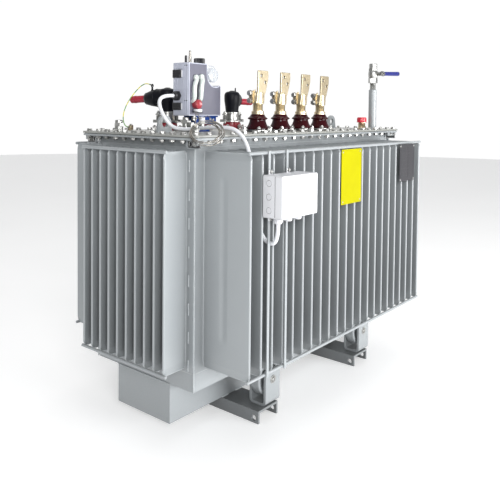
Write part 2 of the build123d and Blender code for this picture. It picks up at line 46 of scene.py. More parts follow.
def W(p):
    return Vector((p[0] * 0.001, (p[1] + SHIFT_Y) * 0.001, p[2] * 0.001))


# ------------------------------------------------------------------ materials
def new_mat(name):
    m = bpy.data.materials.new(name)
    m.use_nodes = True
    nt = m.node_tree
    b = nt.nodes["Principled BSDF"]
    return m, nt, b


def N(nt, kind, **kw):
    n = nt.nodes.new(kind)
    for k, v in kw.items():
        if k in n.inputs:
            n.inputs[k].default_value = v
        else:
            setattr(n, k, v)
    return n


def noise(nt, coord, scale, detail=2.0, rough=0.5, stretch=None):
    n = N(nt, "ShaderNodeTexNoise")
    n.inputs["Scale"].default_value = scale
    n.inputs["Detail"].default_value = detail
    n.inputs["Roughness"].default_value = rough
    if stretch:
        mp = N(nt, "ShaderNodeMapping")
        mp.inputs["Scale"].default_value = stretch
        nt.links.new(coord, mp.inputs["Vector"])
        nt.links.new(mp.outputs["Vector"], n.inputs["Vector"])
    else:
        nt.links.new(coord, n.inputs["Vector"])
    return n.outputs["Fac"]


def ramp(nt, fac, stops):
    r = N(nt, "ShaderNodeValToRGB")
    el = r.color_ramp.elements
    while len(el) < len(stops):
        el.new(0.5)
    for e, (p, c) in zip(el, stops):
        e.position = p
        e.color = (*c, 1.0) if len(c) == 3 else c
    nt.links.new(fac, r.inputs["Fac"])
    return r.outputs["Color"]


def scaled(c, k):
    return tuple(min(1.0, max(0.0, v * k)) for v in c)


def surface(name, color, rough=(0.35, 0.45), metallic=0.0, vary=0.06, tone_scale=4.0,
            grain=600.0, bump=0.05, bump_mm=0.3, stretch=None, bevel=0.0, coat=0.0,
            coat_rough=0.1, ior=1.5, trans=0.0, alpha=None, spec=None, dust=0.0, stain=None, painted_shade=None):
    """Paint, metal, plastic or rubber: tone noise, roughness noise and fine bump."""
    m, nt, b = new_mat(name)
    co = N(nt, "ShaderNodeTexCoord").outputs["Object"]
    tone = noise(nt, co, tone_scale, 4.0, 0.6)
    col = ramp(nt, tone, [(0.3, scaled(color, 1 - vary)), (0.7, scaled(color, 1 + vary))])
    if stain:
        fleck = noise(nt, co, stain[0], 5.0, 0.7)
        mask = ramp(nt, fleck, [(stain[1], (0, 0, 0)), (stain[1] + 0.12, (1, 1, 1))])
        mx = N(nt, "ShaderNodeMixRGB", blend_type="MIX")
        sc = N(nt, "ShaderNodeMath", operation="MULTIPLY")
        sc.inputs[1].default_value = stain[3]
        nt.links.new(mask, sc.inputs[0])
        nt.links.new(sc.outputs[0], mx.inputs["Fac"])
        nt.links.new(col, mx.inputs["Color1"])
        mx.inputs["Color2"].default_value = (*stain[2], 1)
        col = mx.outputs["Color"]
    if dust > 0:
        geo = N(nt, "ShaderNodeNewGeometry")
        sep = N(nt, "ShaderNodeSeparateXYZ")
        nt.links.new(geo.outputs["Normal"], sep.inputs["Vector"])
        up = ramp(nt, sep.outputs["Z"], [(0.55, (0, 0, 0)), (1.0, (1, 1, 1))])
        dn = noise(nt, co, 22.0, 5.0, 0.65)
        mul = N(nt, "ShaderNodeMath", operation="MULTIPLY")
        nt.links.new(up, mul.inputs[0]); nt.links.new(dn, mul.inputs[1])
        mul2 = N(nt, "ShaderNodeMath", operation="MULTIPLY")
        mul2.inputs[1].default_value = dust
        nt.links.new(mul.outputs[0], mul2.inputs[0])
        mx = N(nt, "ShaderNodeMixRGB", blend_type="MIX")
        nt.links.new(mul2.outputs[0], mx.inputs["Fac"])
        nt.links.new(col, mx.inputs["Color1"])
        mx.inputs["Color2"].default_value = (0.55, 0.54, 0.50, 1)
        col = mx.outputs["Color"]
    if painted_shade:
        # painted shade: ambient occlusion darkens the colour in the recesses, and more of it low down
        ao = N(nt, "ShaderNodeAmbientOcclusion")
        ao.samples = 6
        ao.inputs["Distance"].default_value = painted_shade[0]
        inv = N(nt, "ShaderNodeMath", operation="SUBTRACT")
        inv.inputs[0].default_value = 1.0
        nt.links.new(ao.outputs["AO"], inv.inputs[1])
        sz = N(nt, "ShaderNodeSeparateXYZ")
        nt.links.new(co, sz.inputs["Vector"])
        am = N(nt, "ShaderNodeMapRange")
        am.inputs["From Min"].default_value = 0.10
        am.inputs["From Max"].default_value = 0.95
        am.inputs["To Min"].default_value = painted_shade[1]
        am.inputs["To Max"].default_value = painted_shade[2]
        nt.links.new(sz.outputs["Z"], am.inputs["Value"])
        ml = N(nt, "ShaderNodeMath", operation="MULTIPLY")
        nt.links.new(inv.outputs[0], ml.inputs[0])
        nt.links.new(am.outputs["Result"], ml.inputs[1])
        keep = N(nt, "ShaderNodeMath", operation="SUBTRACT")
        keep.inputs[0].default_value = 1.0
        nt.links.new(ml.outputs[0], keep.inputs[1])
        mg = N(nt, "ShaderNodeMixRGB", blend_type="MULTIPLY")
        mg.inputs["Fac"].default_value = 1.0
        nt.links.new(col, mg.inputs["Color1"])
        nt.links.new(keep.outputs[0], mg.inputs["Color2"])
        col = mg.outputs["Color"]
    nt.links.new(col, b.inputs["Base Color"])
    rn = noise(nt, co, tone_scale * 6, 3.0, 0.6, stretch)
    rr = N(nt, "ShaderNodeMapRange")
    rr.inputs["To Min"].default_value = rough[0]
    rr.inputs["To Max"].default_value = rough[1]
    nt.links.new(rn, rr.inputs["Value"])
    nt.links.new(rr.outputs["Result"], b.inputs["Roughness"])
    g = noise(nt, co, grain, 3.0, 0.5, stretch)
    bp = N(nt, "ShaderNodeBump")
    bp.inputs["Strength"].default_value = bump
    bp.inputs["Distance"].default_value = bump_mm * 0.001
    nt.links.new(g, bp.inputs["Height"])
    if bevel > 0:
        bv = N(nt, "ShaderNodeBevel")
        bv.samples = 4
        bv.inputs["Radius"].default_value = bevel * 0.001
        nt.links.new(bv.outputs["Normal"], bp.inputs["Normal"])
    nt.links.new(bp.outputs["Normal"], b.inputs["Normal"])
    b.inputs["Metallic"].default_value = metallic
    b.inputs["IOR"].default_value = ior
    if coat:
        b.inputs["Coat Weight"].default_value = coat
        b.inputs["Coat Roughness"].default_value = coat_rough
    if trans:
        b.inputs["Transmission Weight"].default_value = trans
    if alpha is not None:
        b.inputs["Alpha"].default_value = alpha
    if spec is not None:
        b.inputs["Specular IOR Level"].default_value = spec
    return m


PAINT = (0.305, 0.326, 0.338)
M = {}
# the last tuple of these finishes (distance, amount low down, amount high up) paints shade into the recesses, more of
# it low down
M["paint"] = surface("grey_paint", PAINT, rough=(0.30, 0.42), vary=0.035, tone_scale=3.0, grain=420,
                     bump=0.10, bump_mm=0.15, bevel=1.4, coat=0.25, coat_rough=0.25, dust=0.2, painted_shade=(0.30, 0.42, 0.25))
# the rails: the grey paint made 8% darker, with stronger painted shade in the recesses and low down, for their shaded
# sides under the tank
M["rail_paint_with_painted_shade"] = surface("rail_paint_with_painted_shade", scaled(PAINT, 0.92), rough=(0.30, 0.42), vary=0.05, tone_scale=5.0, grain=420,
                          bump=0.10, bump_mm=0.15, bevel=1.2, coat=0.25, coat_rough=0.25, dust=0.2, painted_shade=(0.40, 0.85, 0.5))
M["fin_paint"] = surface("fin_paint", PAINT, rough=(0.30, 0.42), vary=0.03, tone_scale=3.0, grain=420,
                         bump=0.10, bump_mm=0.15, coat=0.25, coat_rough=0.25, painted_shade=(0.16, 0.84, 0.34))
M["cover_paint"] = surface("cover_paint", (0.275, 0.28, 0.262), rough=(0.32, 0.46), vary=0.05, tone_scale=6.0,
                           grain=380, bump=0.12, bump_mm=0.2, bevel=1.2, coat=0.2, coat_rough=0.3, dust=0.25, painted_shade=(0.06, 0.5, 0.5))
# weld beads: the grey paint made 12% lighter, a painted highlight on the beads
M["weld"] = surface("weld_highlight_paint", scaled(PAINT, 1.12), rough=(0.28, 0.45), vary=0.08, tone_scale=60,
                    grain=700, bump=0.4, bump_mm=0.4, coat=0.3, coat_rough=0.25)
M["steel"] = surface("zinc_steel", (0.50, 0.50, 0.485), rough=(0.22, 0.42), metallic=1.0, vary=0.12,
                     tone_scale=45, grain=900, bump=0.12, bump_mm=0.15, stain=(70, 0.58, (0.30, 0.285, 0.24), 0.5), painted_shade=(0.012, 0.6, 0.6))
# dark steel; at the corner trays also painted shade on the back plate
M["dark_steel_and_painted_shade"] = surface("dark_steel_and_painted_shade", (0.16, 0.16, 0.16), rough=(0.35, 0.55), metallic=0.9, vary=0.2,
                          tone_scale=60, grain=900, bump=0.2, bump_mm=0.2)
M["brass"] = surface("pale_brass", (0.66, 0.56, 0.385), rough=(0.26, 0.44), metallic=1.0, vary=0.07,
                     tone_scale=18, grain=500, bump=0.10, bump_mm=0.2, stain=(40, 0.60, (0.50, 0.33, 0.15), 0.45))
M["porcelain"] = surface("brown_glaze", (0.030, 0.0025, 0.0045), rough=(0.08, 0.16), vary=0.25, tone_scale=14,
                         grain=160, bump=0.10, bump_mm=0.4, spec=0.22)
M["resin"] = surface("red_resin", (0.30, 0.018, 0.03), rough=(0.28, 0.45), vary=0.14, tone_scale=20,
                     grain=500, bump=0.15, bump_mm=0.2, coat=0.3, coat_rough=0.2)
M["rubber"] = surface("black_rubber", (0.004, 0.0045, 0.008), rough=(0.34, 0.52), vary=0.3, tone_scale=16,
                      grain=800, bump=0.18, bump_mm=0.2, spec=0.16)
M["gasket"] = surface("gasket_rubber", (0.016, 0.016, 0.016), rough=(0.6, 0.8), vary=0.2, tone_scale=30, grain=900, bump=0.3)
M["cable"] = surface("red_sheath", (0.38, 0.014, 0.035), rough=(0.36, 0.5), vary=0.08, tone_scale=25,
                     grain=700, bump=0.12, bump_mm=0.2)
M["relay"] = surface("relay_plastic", (0.43, 0.45, 0.53), rough=(0.30, 0.42), vary=0.03, tone_scale=9,
                     grain=1200, bump=0.10, bump_mm=0.12)
M["relay_front"] = surface("relay_front", (0.113, 0.113, 0.150), rough=(0.30, 0.40), vary=0.04, tone_scale=9,
                           grain=1200, bump=0.08, bump_mm=0.1)
M["relay_blue"] = surface("blue_paint", (0.002, 0.030, 0.17), rough=(0.26, 0.38), vary=0.12, tone_scale=25,
                          grain=500, bump=0.12, bump_mm=0.2, spec=0.2)
M["clear"] = surface("clear_plastic", (0.86, 0.93, 0.89), rough=(0.04, 0.10), vary=0.03, tone_scale=12, grain=300,
                     bump=0.05, bump_mm=0.2, trans=0.45, ior=1.45, coat=0.6, coat_rough=0.05)
M["thin_clear"] = surface("thin_clear", (0.66, 0.70, 0.74), rough=(0.04, 0.10), vary=0.02, tone_scale=12, grain=300,
                          bump=0.05, bump_mm=0.2, alpha=0.30, coat=0.5, coat_rough=0.05)
# black plastic; on the junction box also painted shade in the lid seam, the knock-out grooves and the screw recesses
M["black_plastic"] = surface("black_plastic", (0.014, 0.014, 0.017), rough=(0.32, 0.48), vary=0.2, tone_scale=30,
                             grain=900, bump=0.12, bump_mm=0.15)
M["white_plastic"] = surface("box_plastic", (0.64, 0.645, 0.67), rough=(0.34, 0.46), vary=0.02, tone_scale=12,
                             grain=1500, bump=0.14, bump_mm=0.10)
M["conduit"] = surface("conduit_sheath", (0.68, 0.69, 0.72), rough=(0.38, 0.5), vary=0.03, tone_scale=20,
                       grain=900, bump=0.10, bump_mm=0.12)
M["yellow"] = surface("yellow_plate", (0.385, 0.358, 0.0015), rough=(0.25, 0.36), vary=0.04, tone_scale=14,
                      grain=600, bump=0.06, bump_mm=0.1, spec=0.04)
M["plate"] = surface("etched_plate", (0.049, 0.048, 0.053), rough=(0.34, 0.48), metallic=0.2, vary=0.06,
                     tone_scale=16, grain=700, bump=0.08, bump_mm=0.1, stretch=(1, 1, 14), spec=0.2)
M["blue_grip"] = surface("blue_vinyl", (0.006, 0.012, 0.16), rough=(0.26, 0.38), vary=0.12, tone_scale=30,
                         grain=700, bump=0.10, bump_mm=0.15, coat=0.3)
M["red_cap"] = surface("red_cap", (0.55, 0.010, 0.03), rough=(0.24, 0.36), vary=0.08, tone_scale=30,
                       grain=700, bump=0.08, bump_mm=0.15, coat=0.3)
M["tinned"] = surface("tinned_wire", (0.30, 0.285, 0.26), rough=(0.18, 0.32), metallic=1.0, vary=0.1,
                      tone_scale=90, grain=1500, bump=0.1, bump_mm=0.1)
# flat near-black used as painted shadow in holes, slots, gaps and seams
M["painted_shadow_gap"] = surface("shadow_gap", (0.02, 0.02, 0.022), rough=(0.6, 0.8), vary=0.2, tone_scale=40, grain=500)


def striped(name, a, b_, period_mm):
    """Two-colour insulation with stripes that run along the wire in a long twist."""
    m, nt, b = new_mat(name)
    co = N(nt, "ShaderNodeTexCoord").outputs["Object"]
    w = N(nt, "ShaderNodeTexWave")
    w.bands_direction = "DIAGONAL"
    w.inputs["Scale"].default_value = 1000.0 / period_mm / 6.0
    w.inputs["Distortion"].default_value = 0.4
    nt.links.new(co, w.inputs["Vector"])
    c = ramp(nt, w.outputs["Fac"], [(0.42, a), (0.5, b_)])
    nt.links.new(c, b.inputs["Base Color"])
    rn = noise(nt, co, 80)
    rr = N(nt, "ShaderNodeMapRange")
    rr.inputs["To Min"].default_value = 0.35
    rr.inputs["To Max"].default_value = 0.5
    nt.links.new(rn, rr.inputs["Value"])
    nt.links.new(rr.outputs["Result"], b.inputs["Roughness"])
    return m


M["earth"] = striped("earth_wire_sheath", (0.70, 0.62, 0.03), (0.10, 0.30, 0.03), 14)


# -------------------------------------------------------------- mesh building
class Mesh:
    """Collects faces in millimetres with one material slot per face."""

    def __init__(self, name, mats, body="tank", replaces=(), angle=32.0):
        self.name, self.mats, self.body, self.rep, self.angle = name, mats, body, replaces, angle
        self.v, self.f, self.m = [], [], []

    def add(self, geo, mat=0, at=None):
        vs, fs = geo
        k = len(self.v)
        if at is None:
            self.v.extend(Vector(p) for p in vs)
        else:
            self.v.extend(at @ Vector(p) for p in vs)
        i = self.mats.index(mat) if isinstance(mat, str) else mat
        self.f.extend([tuple(j + k for j in f) for f in fs])
        self.m.extend([i] * len(fs))
        return self

    def done(self):
        me = bpy.data.meshes.new(self.name)
        me.from_pydata([W(p) for p in self.v], [], self.f)
        me.validate()
        for i, name in enumerate(self.mats):
            me.materials.append(M[name])
        me.polygons.foreach_set("material_index", self.m[:len(me.polygons)])
        bm = bmesh.new()
        bm.from_mesh(me)
        bmesh.ops.recalc_face_normals(bm, faces=bm.faces)
        bm.to_mesh(me)
        bm.free()
        me.polygons.foreach_set("use_smooth", [True] * len(me.polygons))
        me.set_sharp_from_angle(angle=radians(self.angle))
        me.update()
        ob = bpy.data.objects.new(self.name, me)
        bpy.context.scene.collection.objects.link(ob)
        wn = ob.modifiers.new("even_normals", "WEIGHTED_NORMAL")
        wn.keep_sharp = True
        wn.weight = 60
        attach(ob, self.body)
        if self.rep:
            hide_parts(*self.rep)
        return ob


def place(o, z=(0, 0, 1), x=None):
    """Matrix that puts local z along z, with the origin at o."""
    z = Vector(z).normalized()
    x = Vector(x) if x is not None else (Vector((1, 0, 0)) if abs(z.x) < 0.9 else Vector((0, 1, 0)))
    x = (x - z * x.dot(z)).normalized()
    y = z.cross(x)
    m = Matrix((x, y, z)).transposed().to_4x4()
    m.translation = Vector(o)
    return m


def lathe(profile, n=32):
    """profile: (radius, height) from one end to the other; radius 0 closes it."""
    vs, rings = [], []
    for r, h in profile:
        if r <= 1e-6:
            rings.append([len(vs)])
            vs.append((0, 0, h))
        else:
            rings.append(list(range(len(vs), len(vs) + n)))
            vs.extend((r * cos(2 * pi * i / n), r * sin(2 * pi * i / n), h) for i in range(n))
    fs = []
    for a, b in zip(rings, rings[1:]):
        for i in range(n):
            j = (i + 1) % n
            if len(a) == 1 and len(b) > 1:
                fs.append((a[0], b[j], b[i]))
            elif len(b) == 1 and len(a) > 1:
                fs.append((a[i], a[j], b[0]))
            elif len(a) > 1:
                fs.append((a[i], a[j], b[j], b[i]))
    return vs, fs


def disc_cyl(r, h, c=0.6, n=24):
    """Closed cylinder with small edge chamfers."""
    c = min(c, r * 0.45, h * 0.45)
    return lathe([(0, 0), (r - c, 0), (r, c), (r, h - c), (r - c, h), (0, h)], n)


def ring_cyl(ri, ro, h, c=0.5, n=32):
    p = [(ri + c, 0), (ro - c, 0), (ro, c), (ro, h - c), (ro - c, h), (ri + c, h), (ri, h - c), (ri, c), (ri + c, 0)]
    return lathe(p, n)


def hexhead(af, h, n=6, c=0.9):
    r = af / 2 / cos(pi / 6)
    vs, fs = [], []
    for rr, z in ((r, 0), (r, h - c), (r - c * 1.4, h)):
        vs.extend((rr * cos(pi / 3 * i), rr * sin(pi / 3 * i), z) for i in range(6))
    fs.append(tuple(range(5, -1, -1)))
    for k in (0, 6):
        fs.extend((k + i, k + (i + 1) % 6, k + 6 + (i + 1) % 6, k + 6 + i) for i in range(6))
    fs.append(tuple(range(12, 18)))
    return vs, fs


def box(lo, hi, bevel=0.0, seg=2):
    bm = bmesh.new()
    bmesh.ops.create_cube(bm, size=1.0)
    lo, hi = Vector(lo), Vector(hi)
    for v in bm.verts:
        v.co = Vector((lo[i] + (v.co[i] + 0.5) * (hi[i] - lo[i]) for i in range(3)))
    if bevel > 0:
        bmesh.ops.bevel(bm, geom=list(bm.edges), offset=bevel, segments=seg, profile=0.5, affect="EDGES")
    out = ([tuple(v.co) for v in bm.verts], [tuple(v.index for v in f.verts) for f in bm.faces])
    bm.free()
    return out


def plate(outer, holes, t, bevel=0.6):
    """Flat plate in local XY with round or shaped holes, thickness t along +z."""
    bm = bmesh.new()
    edges = []
    for loop in [outer] + holes:
        vs = [bm.verts.new((p[0], p[1], 0)) for p in loop]
        edges += [bm.edges.new((vs[i], vs[(i + 1) % len(vs)])) for i in range(len(vs))]
    bmesh.ops.triangle_fill(bm, use_beauty=True, use_dissolve=False, edges=edges)
    bmesh.ops.dissolve_limit(bm, angle_limit=0.01, verts=list(bm.verts), edges=[e for e in bm.edges if not e.is_boundary])
    r = bmesh.ops.extrude_face_region(bm, geom=list(bm.faces))
    for v in [g for g in r["geom"] if isinstance(g, bmesh.types.BMVert)]:
        v.co.z += t
    if bevel > 0:
        rim = [e for e in bm.edges if len(e.link_faces) == 2 and e.calc_face_angle(0) > 0.9
               and abs(e.verts[0].co.z - e.verts[1].co.z) < 1e-6]
        bmesh.ops.bevel(bm, geom=rim, offset=bevel, segments=1, profile=0.5, affect="EDGES")
    bmesh.ops.recalc_face_normals(bm, faces=bm.faces)
    bm.verts.index_update()
    out = ([tuple(v.co) for v in bm.verts], [tuple(v.index for v in f.verts) for f in bm.faces])
    bm.free()
    return out


def circle(cx, cy, r, n=20):
    return [(cx + r * cos(2 * pi * i / n), cy + r * sin(2 * pi * i / n)) for i in range(n)]


def rounded(x0, y0, x1, y1, r, n=5):
    pts = []
    for cx, cy, a in ((x1 - r, y1 - r, 0), (x0 + r, y1 - r, 90), (x0 + r, y0 + r, 180), (x1 - r, y0 + r, 270)):
        pts += [(cx + r * cos(radians(a + 90 * i / n)), cy + r * sin(radians(a + 90 * i / n))) for i in range(n + 1)]
    return pts


def tube(path, radius, n=10, caps=True, closed=False):
    path = [Vector(p) for p in path]
    k = len(path)
    rad = radius if isinstance(radius, (list, tuple)) else [radius] * k
    tang = []
    for i in range(k):
        a = path[(i - 1) % k] if (closed or i > 0) else path[i]
        b = path[(i + 1) % k] if (closed or i < k - 1) else path[i]
        tang.append((b - a).normalized())
    ref = Vector((0, 0, 1)) if abs(tang[0].z) < 0.9 else Vector((1, 0, 0))
    u = (ref - tang[0] * ref.dot(tang[0])).normalized()
    vs, fs = [], []
    for i in range(k):
        if i:
            u = (u - tang[i] * u.dot(tang[i])).normalized()
        w = tang[i].cross(u)
        for j in range(n):
            a = 2 * pi * j / n
            vs.append(tuple(path[i] + (u * cos(a) + w * sin(a)) * rad[i]))
    last = k if closed else k - 1
    for i in range(last):
        a, b = i * n, ((i + 1) % k) * n
        fs.extend((a + j, a + (j + 1) % n, b + (j + 1) % n, b + j) for j in range(n))
    if caps and not closed:
        fs.append(tuple(range(n - 1, -1, -1)))
        fs.append(tuple(range((k - 1) * n, k * n)))
    return vs, fs


def arc(c, r, a0, a1, n, plane="xy", h=0.0):
    out = []
    for i in range(n + 1):
        a = radians(a0 + (a1 - a0) * i / n)
        p, q = c[0] + r * cos(a), c[1] + r * sin(a)
        out.append({"xy": (p, q, h), "xz": (p, h, q), "yz": (h, p, q)}[plane])
    return out


def bolt(mb, o, d, af=19.0, h=8.0, washer=12.0, wt=2.5, stud=0.0, mat="steel", turn=None):
    """Washer, hexagon and (for a nut) a stud end that stands past it."""
    a = rng.uniform(0, 60) if turn is None else turn
    d = Vector(d).normalized()
    m = place(o, d) @ Matrix.Rotation(radians(a), 4, "Z")
    if washer:
        mb.add(disc_cyl(washer, wt, 0.4, 20), mat, m)
    m2 = m @ Matrix.Translation((0, 0, wt if washer else 0))
    mb.add(hexhead(af, h), mat, m2)
    if stud:
        mb.add(disc_cyl(af * 0.31, stud, 0.8, 12), mat, m2 @ Matrix.Translation((0, 0, h)))


def smooth(a, b, x):
    t = max(0.0, min(1.0, (x - a) / (b - a)))
    return t * t * (3 - 2 * t)


# --------------------------------------------------------------------- camera
yaw, tilt, roll = radians(50.777), radians(2.15), radians(-0.553)
fwd = Vector((sin(yaw) * cos(tilt), cos(yaw) * cos(tilt), -sin(tilt)))
right0 = Vector((cos(yaw), -sin(yaw), 0))
down0 = fwd.cross(right0)
right = right0 * cos(roll) + down0 * sin(roll)
down = -right0 * sin(roll) + down0 * cos(roll)
cam_data = bpy.data.cameras.new("photo_camera")
cam = bpy.data.objects.new("photo_camera", cam_data)
bpy.context.scene.collection.objects.link(cam)
cam_m = Matrix((right, -down, -fwd)).transposed().to_4x4()
cam_m.translation = W((-2113.09, -1664.44, 1108.75))
cam.matrix_world = cam_m
cam_data.sensor_width = 36.0
cam_data.lens = 45.275
cam_data.shift_x = 0.0
cam_data.shift_y = -0.2296
cam_data.clip_start = 0.05
cam_data.clip_end = 60
bpy.context.scene.camera = cam

# ---------------------------------------------------------------- cord first
# Capillary of the thermometer: relay base, loose coil round the cover's
# corner, pocket. The end points are those of the CAD route.
COIL_C = Vector((-678.0, -317.0, 1041.0))
VIEW = Vector((0.774, 0.632, 0.0)).normalized()
COIL_U = Vector((VIEW.y, -VIEW.x, 0.0))
COIL_V = VIEW * cos(radians(43.0)) + Vector((0, 0, sin(radians(43.0))))
COIL_N = COIL_U.cross(COIL_V)


def coil_point(angle, r, off):
    a = radians(angle)
    return COIL_C + COIL_U * (r * cos(a)) + COIL_V * (r * sin(a)) + COIL_N * off


route = [Vector(p) for p in (
    (-430.0, -18.0, 1082.0), (-430.0, -60.0, 1082.0), (-472.0, -118.0, 1089.0),
    (-528.0, -178.0, 1092.0), (-582.0, -234.0, 1094.0))]
TURNS, PER = 5.0 + 320.0 / 360.0, 13
START, steps = 72.0, 76
wob = random.Random(3)
loose = [(wob.uniform(-1.4, 1.4), wob.uniform(-1.4, 1.4)) for _ in range(8)]


def strand(j, away):
    """Place of a turn in the bundle's cross-section: packed at the tie, fanned away from it."""
    a = radians(60.0 * j + 20.0)
    rp = 3.9 * (1.0 + 1.2 * away)
    return (rp * cos(a) + loose[j][0] * away, rp * sin(a) + loose[j][1] * away)


for i in range(steps + 1):
    k = TURNS * i / steps
    j = min(int(k), 6)
    w = k - j
    ang = START - 360.0 * k
    away = 0.5 + 0.5 * cos(radians(ang + 15.0))
    p, q = strand(j, away), strand(j + 1, away)
    route.append(coil_point(ang, 50.0 + p[0] * (1 - w) + q[0] * w, p[1] * (1 - w) + q[1] * w))
route += [Vector(p) for p in ((-622.0, -226.0, 1098.0), (-590.0, -186.0, 1102.0), (-560.0, -155.0, 1090.0), (-560.0, -155.0, 1063.0))]
cu = bpy.data.curves.new("thermometer_capillary", "CURVE")
cu.dimensions = "3D"
sp = cu.splines.new("NURBS")
sp.points.add(len(route) - 1)
for p, q in zip(sp.points, route):
    p.co = (*W(q), 1.0)
sp.order_u = 3
sp.use_endpoint_u = True
sp.resolution_u = 5
cu.bevel_depth = 0.0015
cu.bevel_resolution = 3
cu.materials.append(M["tinned"])
capillary = bpy.data.objects.new("thermometer_capillary", cu)
bpy.context.scene.collection.objects.link(capillary)
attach(capillary, "tank")
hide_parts("capillary", "capillary_coil")


def smooth_cord(name, pts, radius, mat, node):
    """A cord along its CAD route: the route's points are the control points."""
    cd = bpy.data.curves.new(name, "CURVE")
    cd.dimensions = "3D"
    sp = cd.splines.new("NURBS")
    sp.points.add(len(pts) - 1)
    for p, q in zip(sp.points, pts):
        p.co = (*W(q), 1.0)
    sp.order_u = 3
    sp.use_endpoint_u = True
    sp.resolution_u = 14
    cd.bevel_depth = radius * 0.001
    cd.bevel_resolution = 6
    cd.materials.append(M[mat])
    ob = bpy.data.objects.new(name, cd)
    bpy.context.scene.collection.objects.link(ob)
    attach(ob, "tank")
    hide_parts(node)
    return ob


# white conduit from the relay's gland, over the cover's edge, to the box
CONDUIT = [(-488, 30, 1165), (-536, 30, 1165), (-576, 16, 1142), (-588, -20, 1094), (-568, -46, 1050), (-546, -84, 1044),
           (-532, -130, 1047), (-533, -226, 1056), (-516, -320, 1050), (-522, -378, 950), (-524, -384, 800),
           (-516, -402, 722), (-512, -438, 680), (-514, -478, 694), (-514, -478, 751)]
conduit = smooth_cord("relay_conduit", CONDUIT, 6.7, "conduit", "conduit")

# earth lead of the first elbow, from its prong to a boss on the cover
EARTH = [(-407.2, 240, 1211), (-433, 238, 1219), (-464, 238, 1206), (-486, 240, 1186), (-506, 243, 1164), (-524, 246, 1139),
         (-537, 249, 1112), (-542.5, 251.5, 1085), (-539, 252, 1061), (-528, 250, 1044.5), (-511.2, 250, 1044.5)]
earth = smooth_cord("earth_lead", EARTH, 1.75, "earth", "earth_wire")

# ------------------------------------------------------------ light and floor
bpy.context.scene.view_settings.view_transform = "Standard"
world = bpy.data.worlds.new("studio")
bpy.context.scene.world = world
world.use_nodes = True
wnt = world.node_tree
# a bright backdrop behind the object, dimmer room on the other sides
wdir = N(wnt, "ShaderNodeTexCoord").outputs["Generated"]
wdot = N(wnt, "ShaderNodeVectorMath", operation="DOT_PRODUCT")
wdot.inputs[1].default_value = (0.633, 0.774, 0.0)
wnt.links.new(wdir, wdot.inputs[0])
wcol = ramp(wnt, wdot.outputs["Value"], [(0.25, (0.345, 0.35, 0.355)), (0.74, (1.02, 1.02, 1.02))])
wnt.links.new(wcol, wnt.nodes["Background"].inputs["Color"])
wnt.nodes["Background"].inputs["Strength"].default_value = 1.0


def area(name, at, look, size, power, col=(1, 1, 1)):
    ld = bpy.data.lights.new(name, "AREA")
    ld.shape = "RECTANGLE"
    ld.size, ld.size_y = size
    ld.energy = power
    ld.color = col
    ob = bpy.data.objects.new(name, ld)
    bpy.context.scene.collection.objects.link(ob)
    ob.location = at
    ob.rotation_euler = (Vector(look) - Vector(at)).to_track_quat("-Z", "Y").to_euler()
    return ob


area("key_left_front", (-3.6, -3.9, 2.3), (0.0, 0, 0.6), (2.0, 1.8), 185)
area("low_front", (1.4, -5.4, 0.9), (0.2, 0, 0.5), (4.2, 1.4), 345)
area("top_soft", (0.0, 0.0, 4.2), (0, 0, 0.8), (3.0, 2.6), 34)

fm = bpy.data.meshes.new("studio_floor")
R_FLOOR = 14.0
ring = [(R_FLOOR * cos(2 * pi * i / 64), R_FLOOR * sin(2 * pi * i / 64), 0.0) for i in range(64)]
fm.from_pydata(ring, [], [tuple(range(64))])
floor_mat, fnt, fb = new_mat("pale_floor")
fco = N(fnt, "ShaderNodeTexCoord").outputs["Object"]
fcol = ramp(fnt, noise(fnt, fco, 1.5, 3), [(0.3, (0.86, 0.86, 0.86)), (0.7, (0.89, 0.89, 0.89))])
fnt.links.new(fcol, fb.inputs["Base Color"])
fb.inputs["Roughness"].default_value = 0.7
fb.inputs["Emission Color"].default_value = (1.0, 1.0, 1.0, 1)
fb.inputs["Emission Strength"].default_value = 0.30
fm.materials.append(floor_mat)
floor = bpy.data.objects.new("studio_floor", fm)
bpy.context.scene.collection.objects.link(floor)

# ------------------------------------------------- finishes of the CAD nodes
CAD_FINISH = {
    "tank_shell": "paint", "tank_rim": "paint", "cover_gasket": "gasket", "cover_plate": "cover_paint",
    "sump_box": "paint", "wall_sheets": "fin_paint", "tie_rods": "paint",
    "fins_front": "fin_paint", "fins_back": "fin_paint", "fins_left": "fin_paint", "fins_right": "fin_paint",
    "rail_left": "rail_paint_with_painted_shade", "rail_right": "rail_paint_with_painted_shade", "roller_forks": "paint", "roller_axles": "steel",
    "lv_flanges": "steel", "lv_porcelains": "porcelain", "lv_terminals": "brass",
    "hv_bushings": "resin", "hv_clamps": "steel", "hv_elbows": "rubber", "hv_cables": "cable",
    "relay_body": "relay", "relay_base": "relay_blue", "relay_window": "clear", "relay_dome": "thin_clear",
    "relay_knobs": "black_plastic", "relay_button": "resin", "filler_pipe": "paint", "valve_body": "steel", "valve_lever": "blue_grip",
    "breather_stub": "steel", "breather_cap": "red_cap", "sensor_pockets": "steel", "lifting_lugs": "paint",
    "corner_lugs": "paint", "box_straps": "paint", "junction_box": "white_plastic", "junction_lid": "white_plastic",
    "box_glands": "white_plastic", "conduit": "conduit", "front_plate": "yellow", "nameplate": "plate",
    "nameplate_brackets": "paint", "earth_wire": "earth", "capillary": "tinned", "capillary_coil": "tinned",
    "wheel_front_left": "paint", "wheel_front_right": "paint", "wheel_back_left": "paint", "wheel_back_right": "paint",
}
for node, finish in CAD_FINISH.items():
    if node not in NODES:
        continue
    ob = NODES[node]
    ob.data.materials.clear()
    ob.data.materials.append(M[finish])

# ------------------------------------------------------------ corrugated walls
HALF = 5.0          # half thickness of a pressed fin
Z0, Z1 = 261.0, 977.0


